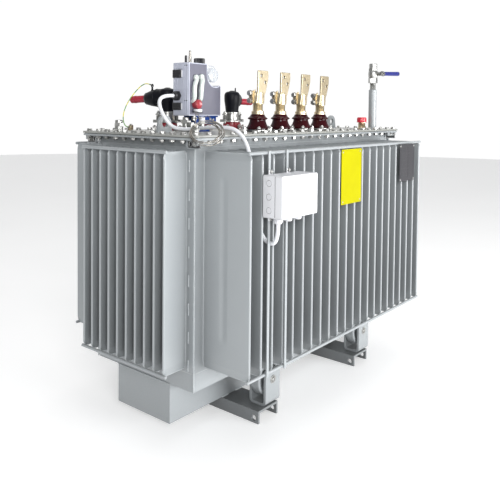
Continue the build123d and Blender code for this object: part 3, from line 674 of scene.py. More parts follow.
def fin_rows():
    lo = [0.0, 1.2, 4.0, 7.0, 11.0, 16.0, 21.0, 23.6, 24.4, 32.0]
    rows = [Z0 + d for d in lo]
    rows += [Z0 + 60, 352, 360, 368, 380, 470, 560, 640, 720, 800, 880, 892, 900, 908, Z1 - 45]
    rows += [Z1 - d for d in reversed(lo)]
    return sorted(rows)


def fin_mesh(depth, root_t, bead, hw=HALF):
    """One pressed fin, local x across, y outwards from the wall's face, z up."""
    rows = fin_rows()
    vs, fs = [], []
    cols = None
    for z in rows:
        dz = min(z - Z0, Z1 - z)
        half = 1.7 + (hw - 1.7) * min(1.0, max(0.0, (dz - 4.0) / 20.0))
        tip = depth - (20.0 - sqrt(max(0.0, 400.0 - (20.0 - dz) ** 2)) if dz < 20 else 0.0)
        tipr = min(half, 5.0)
        pts = []
        # root bend, flank with its pressed bead, rounded tip
        rr = 4.0
        for k in range(4):
            a = radians(90 * k / 3)
            pts.append((half + rr * (1 - sin(a)), root_t + rr * (1 - cos(a))))
        stations = [0.10, 0.22, 0.30, 0.345, 0.375, 0.41, 0.46, 0.51, 0.545, 0.58, 0.625, 0.72, 0.85]
        for s in stations:
            y = root_t + rr + s * (tip - tipr - root_t - rr)
            d = 0.0
            if bead:
                c, hwid = bead
                u = abs(y - c) / hwid
                end = smooth(352, 392, z) * smooth(908, 868, z)
                d = 3.1 * end * (0.5 + 0.5 * cos(pi * min(1.0, u)))
            pts.append((half - d, y))
        for k in range(6):
            a = radians(90 * k / 5)
            pts.append((half - tipr + tipr * cos(a), tip - tipr + tipr * sin(a)))
        full = pts + [(-x, y) for x, y in reversed(pts[:-1])]
        cols = len(full)
        vs.extend((x, y, z) for x, y in full)
    n = len(rows)
    for r in range(n - 1):
        for c in range(cols - 1):
            a = r * cols + c
            fs.append((a, a + 1, a + cols + 1, a + cols))
        fs.append((r * cols + cols - 1, r * cols, (r + 1) * cols, (r + 1) * cols + cols - 1))
    fs.append(tuple(range(cols - 1, -1, -1)))
    fs.append(tuple(range((n - 1) * cols, n * cols)))
    return vs, fs


def seam(depth, z_end, sgn, root_t):
    """Weld bead that closes the pinched end of a fin, round its corner."""
    pts = [(0, root_t + 2, z_end + sgn * 0.6)]
    pts += [(0, y, z_end + sgn * 0.6 + rng.uniform(-0.35, 0.35)) for y in
            [root_t + 2 + (depth - 22 - root_t - 2) * k / 9 for k in range(1, 10)]]
    for k in range(1, 7):
        a = radians(90 * k / 6)
        pts.append((0, depth - 20 + 19.6 * sin(a), z_end - sgn * 20 + sgn * 20.4 * cos(a)))
    rad = [1.9 + rng.uniform(-0.25, 0.35) for _ in pts]
    return tube(pts, rad, 7)


def wall(name, node, n, pitch, depth, to_world, body_mats, root_t, bead, bulge=0.0):
    mb = Mesh(name, ["fin_paint", "weld"], replaces=(node,), angle=50)
    fin = fin_mesh(depth, root_t, bead)
    for i in range(n):
        x = -pitch * (n - 1) / 2 + i * pitch
        lean = rng.uniform(-0.5, 0.5)
        sq = Matrix.Identity(4)
        sq[0][1] = lean / depth
        m = to_world @ Matrix.Translation((x, 0, 0)) @ sq
        mb.add(fin, "fin_paint", m)
        for z_end, sgn in ((Z0, -1), (Z1, 1)):
            mb.add(seam(depth, z_end, sgn, root_t), "weld", m)
    return mb.done()


def frame_of(o, xdir, ydir):
    m = Matrix((Vector(xdir), Vector(ydir), Vector((0, 0, 1)))).transposed().to_4x4()
    m.translation = Vector(o)
    return m


LONG_D, SHORT_D = 200.0, 101.0
wall("fins_front_pressed", "fins_front", 22, 58.0, LONG_D, frame_of((0, -246, 0), (1, 0, 0), (0, -1, 0)), None, 3.0, (88.0, 19.0))
wall("fins_back_pressed", "fins_back", 22, 58.0, LONG_D, frame_of((0, 246, 0), (-1, 0, 0), (0, 1, 0)), None, 3.0, (88.0, 19.0))
wall("fins_left_pressed", "fins_left", 10, 46.0, SHORT_D, frame_of((-656, 0, 0), (0, -1, 0), (-1, 0, 0)), None, 3.0, None)
wall("fins_right_pressed", "fins_right", 10, 46.0, SHORT_D, frame_of((656, 0, 0), (0, 1, 0), (1, 0, 0)), None, 3.0, None)

# sheets between the fins, with stitch welds along their edges
ws = Mesh("wall_sheets_welded", ["fin_paint", "weld"], replaces=("wall_sheets",))
ws.add(box((-654, -249, 248), (654, -245.5, 990), 0.8), "fin_paint")
ws.add(box((-654, 245.5, 248), (654, 249, 990), 0.8), "fin_paint")
ws.add(box((-659, -244, 248), (-655.5, 244, 990), 0.8), "fin_paint")
ws.add(box((655.5, -244, 248), (659, 244, 990), 0.8), "fin_paint")


def weld_run(mb, a, b, r=2.2, step=3.2, mat="weld", n=7):
    a, b = Vector(a), Vector(b)
    k = max(2, int((b - a).length / step))
    pts, rad = [], []
    for i in range(k + 1):
        pts.append(a.lerp(b, i / k) + Vector([rng.uniform(-0.25, 0.25) for _ in range(3)]))
        rad.append(r * (1.0 if i % 2 else 0.86) * rng.uniform(0.92, 1.08) * (0.6 if i in (0, k) else 1))
    mb.add(tube(pts, rad, n), mat)


for sx in (-1, 1):
    for sy in (-1, 1):
        weld_run(ws, (sx * 657.4, sy * 248.0, 186), (sx * 657.4, sy * 248.0, 1014), 3.4, 4.2)
        # folded edge strip of the end wall, stitched to the sheet beside it
        lo, hi = sorted((sx * 655.0, sx * 661.0))
        ya, yb = sorted((sy * 226.5, sy * 246.5))
        ws.add(box((lo, ya, 252), (hi, yb, 986), 0.7), "fin_paint")
        for k in range(8):
            z = 252 + 94.0 * k
            weld_run(ws, (sx * 660.4, sy * 226.0, z), (sx * 660.4, sy * 226.0, z + 40), 2.7, 4.0)
    weld_run(ws, (sx * 657, -240, 247.6), (sx * 657, 240, 247.6), 2.0, 6.0)
    weld_run(ws, (sx * 657, -240, 990.4), (sx * 657, 240, 990.4), 2.0, 6.0)
for sy in (-1, 1):
    weld_run(ws, (-650, sy * 247, 247.6), (650, sy * 247, 247.6), 2.0, 6.0)
    weld_run(ws, (-650, sy * 247, 990.4), (650, sy * 247, 990.4), 2.0, 6.0)
ws.done()

# rods that tie the fin tips together
tr = Mesh("tie_rods_round", ["paint", "weld"], replaces=("tie_rods",))
ROD_ZS = (260.25, 977.75)
for z in ROD_ZS:
    for s in (-1, 1):
        tr.add(disc_cyl(5.6, 1242, 1.0, 14), "paint", place((-621, s * 441.8, z), (1, 0, 0)))
        tr.add(disc_cyl(5.6, 438, 1.0, 14), "paint", place((s * 752.8, -219, z), (0, 1, 0)))
        for i in range(22):
            x = -609 + 58 * i
            up = -1 if z < 500 else 1
            weld_run(tr, (x - 5.0, s * (441.0 - 0.5), z - up * 4.5), (x + 5.0, s * (441.0 - 0.5), z - up * 4.5), 2.2, 3.0, n=6)
        for i in range(10):
            y = -207 + 46 * i
            up = -1 if z < 500 else 1
            weld_run(tr, (s * (752.0 - 0.5), y - 5.0, z - up * 4.5), (s * (752.0 - 0.5), y + 5.0, z - up * 4.5), 2.2, 3.0, n=6)
tr.done()


# -------------------------------------------------- cover bolts, rim and nuts
cb = Mesh("cover_bolts", ["steel", "dark_steel_and_painted_shade"])
spots = []
for k in range(24):
    x = -680 + 1360.0 * k / 23
    spots += [(x, -275), (x, 275)]
for k in range(10):
    y = -216 + 48.4 * k
    spots += [(-680, y), (680, y)]
for x, y in spots:
    bolt(cb, (x, y, TOP), (0, 0, 1), 17, 7.0, 10.5, 2.0)
    bolt(cb, (x, y, 1016), (0, 0, -1), 17, 7.5, 10.5, 2.0, stud=rng.uniform(2, 4.0))
cb.done()

# ------------------------------------------------------- low-voltage bushings
LVX = (-212.0, -66.0, 80.0, 226.0)
LVY = -150.0
porc = Mesh("lv_porcelains_glazed", ["porcelain"], replaces=("lv_porcelains",), angle=40)
prof = [(0, 8), (40, 8), (42.4, 9), (43, 11.5), (43, 14), (42.2, 16.5), (40.2, 19.5), (37.6, 24), (35.2, 29), (33.2, 34.5),
        (31.8, 39), (31.0, 43), (31.2, 45.2), (33.2, 46.6), (36.4, 47.6), (38.0, 49.2), (38.3, 51), (37.6, 52.8), (35.6, 54.2),
        (32.4, 56.2), (29.8, 59), (28.0, 62.4), (27.2, 65), (26.2, 66), (0, 66)]
for x in LVX:
    porc.add(lathe([(r, TOP + h) for r, h in prof], 56), "porcelain", Matrix.Translation((x, LVY, 0)))
porc.done()

term = Mesh("lv_terminals_cast", ["brass", "steel", "painted_shadow_gap"], replaces=("lv_terminals",), angle=35)
feet = Mesh("lv_clamping_claws", ["steel", "gasket"], replaces=("lv_flanges",))


def claw(mb, x, y, ang, r_in, r_out, z0, h, mat="steel"):
    """Cast claw that presses on a flange, its stud and nut."""
    c, s = cos(radians(ang)), sin(radians(ang))
    m = place((x, y, z0), (0, 0, 1), (c, s, 0))
    w = 6.0
    side = [(r_out, 0), (r_out, h * 0.5), (r_out - 3, h * 0.85), (r_in + 5, h), (r_in, h), (r_in, h - 3.4), (r_in + 3.2, h - 4.2), (r_in + 5.2, h - 6), (r_in + 5.2, 0)]
    bm = bmesh.new()
    vs = [bm.verts.new((px, -w, pz)) for px, pz in side]
    f = bm.faces.new(vs)
    r = bmesh.ops.extrude_face_region(bm, geom=[f])
    for v in [g for g in r["geom"] if isinstance(g, bmesh.types.BMVert)]:
        v.co.y += 2 * w
    bmesh.ops.bevel(bm, geom=list(bm.edges), offset=0.9, segments=2, profile=0.5, affect="EDGES")
    bmesh.ops.recalc_face_normals(bm, faces=bm.faces)
    bm.verts.index_update()
    mb.add(([tuple(v.co) for v in bm.verts], [tuple(v.index for v in f.verts) for f in bm.faces]), mat, m)
    bm.free()
    rs = (r_in + r_out) / 2 + 1.5
    bolt(mb, (x + rs * c, y + rs * s, z0 + h - 1.8), (0, 0, 1), 13, 5.5, 7.5, 1.5, stud=3)


def extruded(poly, y0, y1, bevel=1.6, seg=2):
    """Closed outline in XZ, from y0 to y1, every edge rounded."""
    bm = bmesh.new()
    vs = [bm.verts.new((px, y0, pz)) for px, pz in poly]
    f = bm.faces.new(vs)
    r = bmesh.ops.extrude_face_region(bm, geom=[f])
    for v in [g for g in r["geom"] if isinstance(g, bmesh.types.BMVert)]:
        v.co.y = y1
    if bevel:
        bmesh.ops.bevel(bm, geom=list(bm.edges), offset=bevel, segments=seg, profile=0.5, affect="EDGES", clamp_overlap=True)
    bmesh.ops.recalc_face_normals(bm, faces=bm.faces)
    bm.verts.index_update()
    out = ([tuple(v.co) for v in bm.verts], [tuple(v.index for v in f.verts) for f in bm.faces])
    bm.free()
    return out


def stand(geo_m, o):
    """plate() lies in XY with +z thickness; this stands it in XZ facing -Y."""
    m = Matrix(((1, 0, 0, 0), (0, 0, -1, 0), (0, 1, 0, 0), (0, 0, 0, 1)))
    t = Matrix.Translation(o)
    return t @ m


for x in LVX:
    o = Matrix.Translation((x, LVY, 0))
    # clamping ring, gasket under it and claws
    feet.add(ring_cyl(30, 41.5, 4.0, 0.8, 40), "gasket", Matrix.Translation((x, LVY, TOP - 0.2)))
    feet.add(ring_cyl(30, 40.0, 4.6, 0.8, 40), "steel", Matrix.Translation((x, LVY, TOP + 3.6)))
    for a in (45, 135, 225, 315):
        claw(feet, x, LVY, a, 40.5, 56.0, TOP, 12.5)
    # ring nut, threaded stem
    term.add(lathe([(0, 1098), (23.2, 1098), (24.4, 1099.2), (24.4, 1103.2), (23.4, 1104.2), (24.2, 1105.2), (24.2, 1109.6),
                    (22.6, 1111), (20.4, 1111.4), (20.4, 1112.6)] +
                   [q for k in range(7) for q in ((19.7, 1113.4 + 3.4 * k), (18.5, 1115.1 + 3.4 * k))] +
                   [(19.4, 1137.0), (19.4, 1140), (0, 1140)], 40), "brass", o)
    # lower knuckle that grips the stem, split at the back
    term.add(lathe([(0, 1137.4), (20.4, 1137.4), (21.6, 1138.8), (21.6, 1181), (20.2, 1183.4), (0, 1183.4)], 40), "brass", o)
    term.add(extruded([(x - 24, 1139), (x - 2, 1137.6), (x + 19, 1139), (x + 21.5, 1160), (x + 20.5, 1183), (x - 22.5, 1183), (x - 25, 1165)],
                      LVY - 17.5, LVY - 1, 3.0), "brass")
    # ears with the two clamping screws
    for y0, y1 in ((LVY + 5, LVY + 13.4), (LVY + 15.4, LVY + 23.5)):
        term.add(extruded([(x - 27.5, 1143), (x - 8, 1143), (x - 8, 1187.5), (x - 24, 1190), (x - 28.5, 1186)], y0, y1, 2.2), "brass")
    # near-black sheet in the gap between the ears: painted shadow
    term.add(box((x - 22, LVY + 12.8, 1146), (x - 9, LVY + 16, 1184)), "painted_shadow_gap")
    for z in (1151.0, 1180.0):
        bolt(term, (x - 28.0, LVY + 14.5, z), (-1, 0, 0), 19, 8.5, 11.5, 2.0, turn=rng.uniform(0, 60))
        bolt(term, (x - 8.6, LVY + 14.5, z), (1, 0, 0), 17, 8.0, 10.5, 1.8, stud=4)
    # peg on the top of the knuckle
    term.add(disc_cyl(3.6, 11, 0.8, 14), "brass", Matrix.Translation((x - 15, LVY + 4, 1183)))
    # the flag: a twisted lower web that runs up into a flat palm with two holes
    low = [(x - 31, 1140), (x - 12, 1137.6), (x + 7, 1140), (x + 14, 1158), (x + 26, 1184), (x - 20, 1184), (x - 26, 1160)]
    term.add(extruded(low, LVY - 18.2, LVY - 9.4, 2.6, 3), "brass")
    outer = [(x - 20, 1181), (x + 25, 1181), (x + 33, 1206), (x + 42, 1236), (x + 43, 1248), (x + 43, 1264.5), (x + 41, 1267), (x - 15, 1267), (x - 17.5, 1264.5), (x - 18.6, 1230)]
    holes = [circle(x + 1, 1247, 6.9, 24), circle(x + 24, 1222, 6.9, 24)]
    term.add(plate(outer, holes, 8.0, 0.9), "brass", stand(None, (0, LVY - 10, 0)))
term.done()
feet.done()

# ------------------------------------------------------ high-voltage bushings
HVX = (-390.0, -195.0, 0.0)
HVY = 165.0
HEAD = [Vector((cos(radians(t)), sin(radians(t)), -0.052)).normalized() for t in (100.0, 95.0, 30.0)]
END = 100.0
EZ = 1162.0


def remeshed(name, mb, voxel, smooth_n, mat, body="tank", replaces=()):
    """Joins overlapping closed shapes into one skin with rounded inner corners."""
    me = bpy.data.meshes.new(name + "_raw")
    me.from_pydata([W(p) for p in mb.v], [], mb.f)
    ob = bpy.data.objects.new(name, me)
    bpy.context.scene.collection.objects.link(ob)
    rm = ob.modifiers.new("skin", "REMESH")
    rm.mode = "VOXEL"
    rm.voxel_size = voxel * 0.001
    rm.use_smooth_shade = True
    sm = ob.modifiers.new("soften", "SMOOTH")
    sm.factor = 0.5
    sm.iterations = smooth_n
    dg = bpy.context.evaluated_depsgraph_get()
    out = bpy.data.meshes.new_from_object(ob.evaluated_get(dg))
    bpy.data.objects.remove(ob)
    out.name = name
    out.materials.clear()
    out.materials.append(M[mat])
    out.polygons.foreach_set("use_smooth", [True] * len(out.polygons))
    new = bpy.data.objects.new(name, out)
    bpy.context.scene.collection.objects.link(new)
    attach(new, body)
    if replaces:
        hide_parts(*replaces)
    return new


shell = Mesh("hv_elbows_moulded", ["rubber"])
for x, h in zip(HVX, HEAD):
    o = Matrix.Translation((x, HVY, 0))
    # leg, slightly waisted, with a rounded crown
    shell.add(lathe([(0, 1104), (27, 1104), (28.5, 1106), (28.5, 1112), (29.6, 1122), (31.4, 1136), (33.6, 1150), (34.8, 1162), (34.8, 1178),
                     (33.2, 1186), (29.4, 1192), (22, 1196), (11, 1197.4), (0, 1197.6)], 48), "rubber", o)
    side = place((x, HVY, EZ), h, (0, 0, 1))
    shell.add(lathe([(0, -24), (20, -22), (29, -15), (34, -4), (35.4, 6), (35.6, 44), (35.2, 52), (33.4, 64), (30.6, 78), (27.4, 90), (25.0, 97), (23.4, 100), (0, 100)], 48), "rubber", side)
    shell.add(lathe([(0, -4), (12, -4), (12, 2.0), (10, 3.4), (0, 4.0)], 24), "rubber", place(Vector((x, HVY, 1197.0)), (0, 0, 1)))
remeshed("hv_elbows_moulded", shell, 1.9, 7, "rubber", replaces=("hv_elbows",))

hvx = Mesh("hv_elbow_fittings", ["rubber", "steel"])
for i, (x, h) in enumerate(zip(HVX, HEAD)):
    side = place((x, HVY, EZ), h, (0, 0, 1))
    hvx.add(ring_cyl(34.4, 36.6, 4.0, 1.2, 48), "rubber", side @ Matrix.Translation((0, 0, 46)))
    hvx.add(ring_cyl(27.6, 30.4, 5.0, 1.2, 48), "rubber", Matrix.Translation((x, HVY, 1106)))
    # prong with its eye, where an earth lead is tied
    c0 = Vector((x, HVY, EZ)) + h * 76
    up = Vector((0, 0, 1))
    hvx.add(lathe([(0, 20), (7.5, 27), (6.0, 31), (4.0, 35), (3.6, 44), (3.9, 46), (0, 46.5)], 16), "rubber", Matrix.Translation(c0))
    c1 = c0 + up * 51
    hvx.add(tube([c1 + h * (4.6 * cos(a)) + up * (5.4 * sin(a)) for a in [2 * pi * k / 18 for k in range(18)]], 2.1, 8, closed=True), "rubber")
    if i == 0:
        # crimped ferrule of the lead, held in the eye
        e0 = Vector((-407.6, 240, 1211.2))
        hvx.add(tube([e0 + Vector((5.4, 0, -1.0)), e0, e0 - Vector((8.4, 1.0, -2.4))], [2.5, 2.6, 2.5], 12), "steel")
hvx.done()

cl = Mesh("hv_clamps_sprung", ["steel", "dark_steel_and_painted_shade"], replaces=("hv_clamps",), angle=40)
ft = Mesh("hv_bushings_resin", ["resin", "steel", "gasket"], replaces=("hv_bushings",), angle=40)
CLAMP_DIR = [Vector((1, 0, 0))] * 3
for x in HVX:
    o = Matrix.Translation((x, HVY, 0))
    ft.add(lathe([(0, 1032), (43.5, 1032), (43.5, 1037), (42, 1038.6), (40.4, 1039.4), (39.4, 1044), (37.8, 1049), (36.6, 1055), (36.2, 1060), (35, 1062), (0, 1062)], 48), "resin", o)
    for k in range(12):
        a = 2 * pi * k / 12
        c, s = cos(a), sin(a)
        m = place((x + 36.5 * c, HVY + 36.5 * s, 1038), (0, 0, 1), (c, s, 0))
        ft.add(extruded([(-1, 0), (5.5, 0), (2.2, 19), (-1, 21)], -1.6, 1.6, 0.7, 1), "resin", m)
    for a in (20, 80, 140, 200, 260, 320):
        claw(ft, x, HVY, a, 41.0, 57.0, TOP, 12)
    # lower plate, neck, spring studs and the upper yoke
    cl.add(lathe([(0, 1062), (41, 1062), (42, 1063), (42, 1067.6), (41, 1068.8), (30, 1069), (29, 1070), (29, 1084), (27.4, 1086), (27.4, 1102), (26, 1103.4), (0, 1103.4)], 48), "steel", o)
    cl.add(box((x - 62, HVY - 15, 1062.5), (x + 62, HVY + 15, 1067.5), 1.2), "steel")
    for sx in (-1, 1):
        cl.add(box((x + sx * 61 - 2.4, HVY - 15, 1062.5), (x + sx * 61 + 2.4, HVY + 15, 1074), 1.2), "steel")
        sxp = x + sx * 47
        cl.add(disc_cyl(4.6, 50, 0.8, 14), "steel", Matrix.Translation((sxp, HVY, 1056)))
        helix = [(sxp + 8.4 * cos(2 * pi * k / 14), HVY + 8.4 * sin(2 * pi * k / 14), 1071 + 20.0 * k / 84) for k in range(85)]
        cl.add(tube(helix, 1.5, 7), "steel")
        cl.add(disc_cyl(11, 2.2, 0.4, 20), "steel", Matrix.Translation((sxp, HVY, 1068.2)))
        bolt(cl, (sxp, HVY, 1096.4), (0, 0, 1), 15, 7, 10.5, 2.0, stud=4)
        # yoke arm from the stud up to the leg of the elbow
        cl.add(extruded([(sxp + sx * 9, 1092), (sxp + sx * 9, 1096.6), (sxp - sx * 8, 1096.8), (x + sx * 28, 1104), (x + sx * 26.5, 1100)], HVY - 9, HVY + 9, 0.9, 1), "steel")
    cl.add(ring_cyl(27.2, 31.5, 7.0, 0.9, 40), "steel", Matrix.Translation((x, HVY, 1098.5)))
cl.done()
ft.done()



def nurbs_points(pts, res=8):
    """The points of a smooth NURBS line through its control points, in mm."""
    tmp = bpy.data.curves.new("path", "CURVE")
    tmp.dimensions = "3D"
    s = tmp.splines.new("NURBS")
    s.points.add(len(pts) - 1)
    for p, q in zip(s.points, pts):
        p.co = (q[0], q[1], q[2], 1.0)
    s.order_u = 3
    s.use_endpoint_u = True
    s.resolution_u = res
    ob = bpy.data.objects.new("path", tmp)
    bpy.context.scene.collection.objects.link(ob)
    me = bpy.data.meshes.new_from_object(ob)
    out = [Vector(v.co) for v in me.vertices]
    bpy.data.objects.remove(ob)
    bpy.data.curves.remove(tmp)
    bpy.data.meshes.remove(me)
    return out


cab = Mesh("hv_cable_ends", ["cable", "white_plastic", "dark_steel_and_painted_shade", "brass", "black_plastic"], replaces=("hv_cables",), angle=40)
BENT = Vector((cos(radians(-10)), sin(radians(-10)), -0.02)).normalized()
for i, (x, h) in enumerate(zip(HVX, HEAD)):
    side = place((x, HVY, EZ), h, (0, 0, 1))
    start = Vector((x, HVY, EZ)) + h * END
    if i == 2:
        corner = start + h * 34
        tip = corner + BENT * 82
        path = nurbs_points([start - h * 6, start + h * 12, corner, corner + BENT * 30, tip], 8)
        tdir = BENT
    else:
        tip = start + h * 80
        path = [start - h * 6, start + h * 20, start + h * 50, tip]
        tdir = h
    cab.add(tube(path[:-1] + [tip - tdir * 1.2], 14.5, 28), "cable")
    e = place(tip, tdir, (0, 0, 1))
    cab.add(ring_cyl(11.6, 14.3, 2.4, 0.7, 32), "cable", e @ Matrix.Translation((0, 0, -2.6)))
    cab.add(ring_cyl(7.4, 11.7, 1.8, 0.3, 32), "white_plastic", e @ Matrix.Translation((0, 0, -2.8)))
    for k in range(19):
        rr, aa = (0, 0) if k == 0 else ((3.0, 60 * k) if k < 7 else (5.9, 30 * k))
        cab.add(disc_cyl(1.45, 1.8, 0.3, 8), "brass", e @ Matrix.Translation((rr * cos(radians(aa)), rr * sin(radians(aa)), -2.9)))
    # grey collar at the elbow's mouth
    cab.add(lathe([(16, 94), (24.0, 95), (24.6, 96.6), (24.6, 101.5), (22, 103.6), (15.2, 104), (14.4, 104)], 40), "dark_steel_and_painted_shade", side)
    cab.add(ring_cyl(14.2, 15.3, 7.0, 0.5, 32), "cable", place(tip - tdir * 24, tdir, (0, 0, 1)))
cab.done()


# ------------------------------------------------------------ protection relay
RX0, RX1, RY0, RY1, RZ0, RZ1 = -466.0, -291.0, -30.0, 54.0, 1091.0, 1288.0
body = Mesh("relay_housing", ["relay", "relay_front", "black_plastic", "painted_shadow_gap", "resin", "white_plastic", "steel"], replaces=("relay_body",), angle=35)


def relay_outline(grow=0.0, n=10):
    g = grow
    pts = [(RX0 - g, RZ0 - g), (RX1 + g, RZ0 - g), (RX1 + g, 1205 + g)]
    # concave notch under the clear dome
    cx, cz, r = RX0 + 144, 1247, 45.0 - g
    a0, a1 = math.degrees(math.atan2(1205 + g - cz, RX1 + g - 14 - cx)), math.degrees(math.atan2(1250 - cz, RX0 + 98 + g - cx))
    for k in range(n + 1):
        a = radians(-58 + (-180 + 58) * k / n)
        pts.append((cx + r * cos(a), cz + r * sin(a)))
    pts += [(RX0 + 98 + g, RZ1 + g), (RX0 - g, RZ1 + g)]
    return pts


body.add(extruded(relay_outline(0.0), RY0 + 4, RY1, 1.6, 2), "relay")
# lighter frame round the darker front panel
body.add(extruded(relay_outline(-0.6), RY0 + 1.2, RY0 + 5, 0.8, 1), "relay")
body.add(extruded(relay_outline(-4.2), RY0, RY0 + 4, 0.7, 1), "relay_front")
# ribs, seams and latches of the -X side
for y in (-22.0, -12.0, -3.0, 33.0, 44.0):
    body.add(box((RX0 - 1.6, y - 1.4, RZ0 + 3), (RX0 + 1, y + 1.4, RZ1 - 3), 0.6, 1), "relay")
body.add(box((RX0 - 1.2, 5, RZ0 + 2), (RX0 + 1, 52, RZ0 + 30), 0.6, 1), "relay")
body.add(box((RX0 - 1.2, 5, 1142), (RX0 + 1, 52, 1146), 0.6, 1), "relay")
body.add(box((RX0 - 1.2, 5, 1266), (RX0 + 1, 52, 1282), 0.6, 1), "relay")
for z0, z1 in ((1232, 1262), (1112, 1140)):
    body.add(box((RX0 - 5.5, 10, z0), (RX0 + 1, 53, z1), 1.4), "black_plastic")
    body.add(box((RX0 - 7.0, 14, z0 + 4), (RX0 - 4, 49, z0 + 10), 0.8, 1), "black_plastic")
    body.add(box((RX0 - 7.0, 14, z1 - 10), (RX0 - 4, 49, z1 - 4), 0.8, 1), "black_plastic")
    body.add(box((RX0 - 4.0, 5.0, z0 + 3), (RX0 + 1, 9.0, z1 - 3), 0.8, 1), "white_plastic")
# two dark slits: painted shadow in the seams
for z in (1277.0, 1147.0):
    body.add(box((RX0 - 0.7, -24, z - 1.6), (RX0 + 1, -5, z + 1.6), 0.3, 1), "painted_shadow_gap")
# +X side: two ribs and a vent; back: four screws
for y in (-14.0, 6.0, 26.0, 44.0):
    body.add(box((RX1 - 1, y - 1.4, RZ0 + 4), (RX1 + 1.6, y + 1.4, 1196), 0.6, 1), "relay")
for sx, sz in ((RX0 + 12, RZ0 + 12), (RX1 - 12, RZ0 + 12), (RX0 + 12, RZ1 - 12), (RX0 + 84, RZ1 - 12)):
    body.add(disc_cyl(4.2, 2.2, 0.6, 16), "steel", place((sx, RY1 - 0.4, sz), (0, 1, 0)))
    # slot in each screw head: painted shadow
    body.add(box((sx - 3.2, RY1 + 1.5, sz - 0.5), (sx + 3.2, RY1 + 2.0, sz + 0.5)), "painted_shadow_gap")
# dark vent slits: painted shadow
for k in range(6):
    body.add(box((RX0 + 40, RY1 - 0.5, 1130 + 10 * k), (RX1 - 40, RY1 + 0.5, 1133 + 10 * k), 0.3, 1), "painted_shadow_gap")
# small clear drip cup under the knob; the dark line round its curved rim is painted shadow
body.add(lathe([(0, 0), (13, 0), (15.6, 2), (16.4, 8), (16.4, 12), (15, 13), (13.6, 11), (0, 10.4)], 32), "white_plastic", place((-433, RY0 - 13, 1103), (0, 0, 1)))
body.add(tube([(-433 + 17 * cos(radians(a)), RY0 - 13 + 17 * sin(radians(a)), 1104.5 + 1.5 * cos(radians(2 * a))) for a in range(0, 360, 15)], 1.7, 8, closed=True), "painted_shadow_gap")
body.done()

btn = Mesh("relay_button_fluted", ["resin"], replaces=("relay_button",), angle=35)
kx, kz = RX0 + 33, 1134.0
flute = []
for k in range(72):
    a = 2 * pi * k / 72
    r = 16.8 + 0.9 * (0.5 + 0.5 * cos(a * 18))
    flute.append((r * cos(a), r * sin(a)))
fl = ([(p[0], p[1], z) for z in (0.0, 18.5) for p in flute] + [(p[0] * 0.92, p[1] * 0.92, 20.2) for p in flute],
      [(i, (i + 1) % 72, 72 + (i + 1) % 72, 72 + i) for i in range(72)] + [(72 + i, 72 + (i + 1) % 72, 144 + (i + 1) % 72, 144 + i) for i in range(72)] + [tuple(range(144, 216)), tuple(range(71, -1, -1))])
km = place((kx, RY0, kz), (0, -1, 0))
btn.add(fl, "resin", km)
btn.add(lathe([(0, 19), (13.4, 19.0), (14.2, 21.2), (12.8, 21.8), (9, 20.6), (0, 20.4)], 36), "resin", km)
btn.done()

kn = Mesh("relay_knobs_knurled", ["black_plastic", "steel", "white_plastic", "tinned"], replaces=("relay_knobs",), angle=30)
pts = []
for k in range(96):
    a = 2 * pi * k / 96
    r = 20.4 + 0.6 * (1 if k % 2 else -1)
    pts.append((r * cos(a), r * sin(a)))
knob = ([(p[0], p[1], z) for z in (1.0, 17.0) for p in pts] + [(p[0] * 0.9, p[1] * 0.9, 19.5) for p in pts] + [(p[0] * 0.93, p[1] * 0.93, 0.0) for p in pts],
        [(i, (i + 1) % 96, 96 + (i + 1) % 96, 96 + i) for i in range(96)] + [(96 + i, 96 + (i + 1) % 96, 192 + (i + 1) % 96, 192 + i) for i in range(96)]
        + [tuple(range(192, 288))] + [(288 + i, 288 + (i + 1) % 96, (i + 1) % 96, i) for i in range(96)])
kn.add(knob, "black_plastic", Matrix.Translation((-387, -5, RZ1)))
kn.add(disc_cyl(12, 1.6, 0.5, 24), "steel", Matrix.Translation((-387, -5, RZ1 + 18.6)))
# gland of the conduit
g = place((-466, 30, 1165), (-1, 0, 0))
kn.add(hexhead(34, 8), "black_plastic", g)
kn.add(lathe([(0, 8), (14.6, 8), (15.6, 9.4), (15.6, 17), (12.6, 21), (8.5, 22), (0, 22)], 28), "black_plastic", g)
for k in range(14):
    a = 2 * pi * k / 14
    kn.add(box((14.4, -1.2, 9.5), (16.6, 1.2, 17), 0.4, 1), "black_plastic", g @ Matrix.Rotation(a, 4, "Z"))
# pushed-up test rod and drain spigot on top
kn.add(lathe([(0, 0), (6.4, 0), (6.4, 5), (4.8, 6), (4.8, 27), (3.8, 31), (0, 32)], 20), "black_plastic", Matrix.Translation((-423.5, 30, RZ1 - 1)))
kn.add(lathe([(0, 0), (7.5, 0), (7.5, 4), (5.6, 5), (5.6, 30), (4.2, 32), (4.2, 49), (3.2, 51), (0, 51)], 20), "tinned", Matrix.Translation((-402, 30, RZ1 - 1)))
kn.done()

win = Mesh("relay_sight_tubes", ["clear", "painted_shadow_gap", "white_plastic"], replaces=("relay_window",), angle=40)


def bowed(x_bot, x_mid, x_top, z0, z1, r0, r1, front):
    ctrl = [(x_bot, RY0 + 2, z0), (x_bot, front, z0 + 6), ((x_bot * 0.6 + x_mid * 0.4), front, z0 + (z1 - z0) * 0.35),
            (x_mid, front, z0 + (z1 - z0) * 0.7), (x_top, front + 2, z1 - 6), (x_top + 1, RY0 + 3, z1)]
    path = nurbs_points(ctrl, 7)
    n = len(path)
    rad = [r0 + (r1 - r0) * k / (n - 1) for k in range(n)]
    return path, rad


pa, ra = bowed(-447, -447, -432, 1144, 1233, 7.6, 9.0, RY0 - 10)
win.add(tube(pa, ra, 20), "clear")
pb, rb = bowed(-413, -409, -402, 1144, 1236, 7.6, 9.4, RY0 - 10)
win.add(tube(pb, rb, 20), "clear")
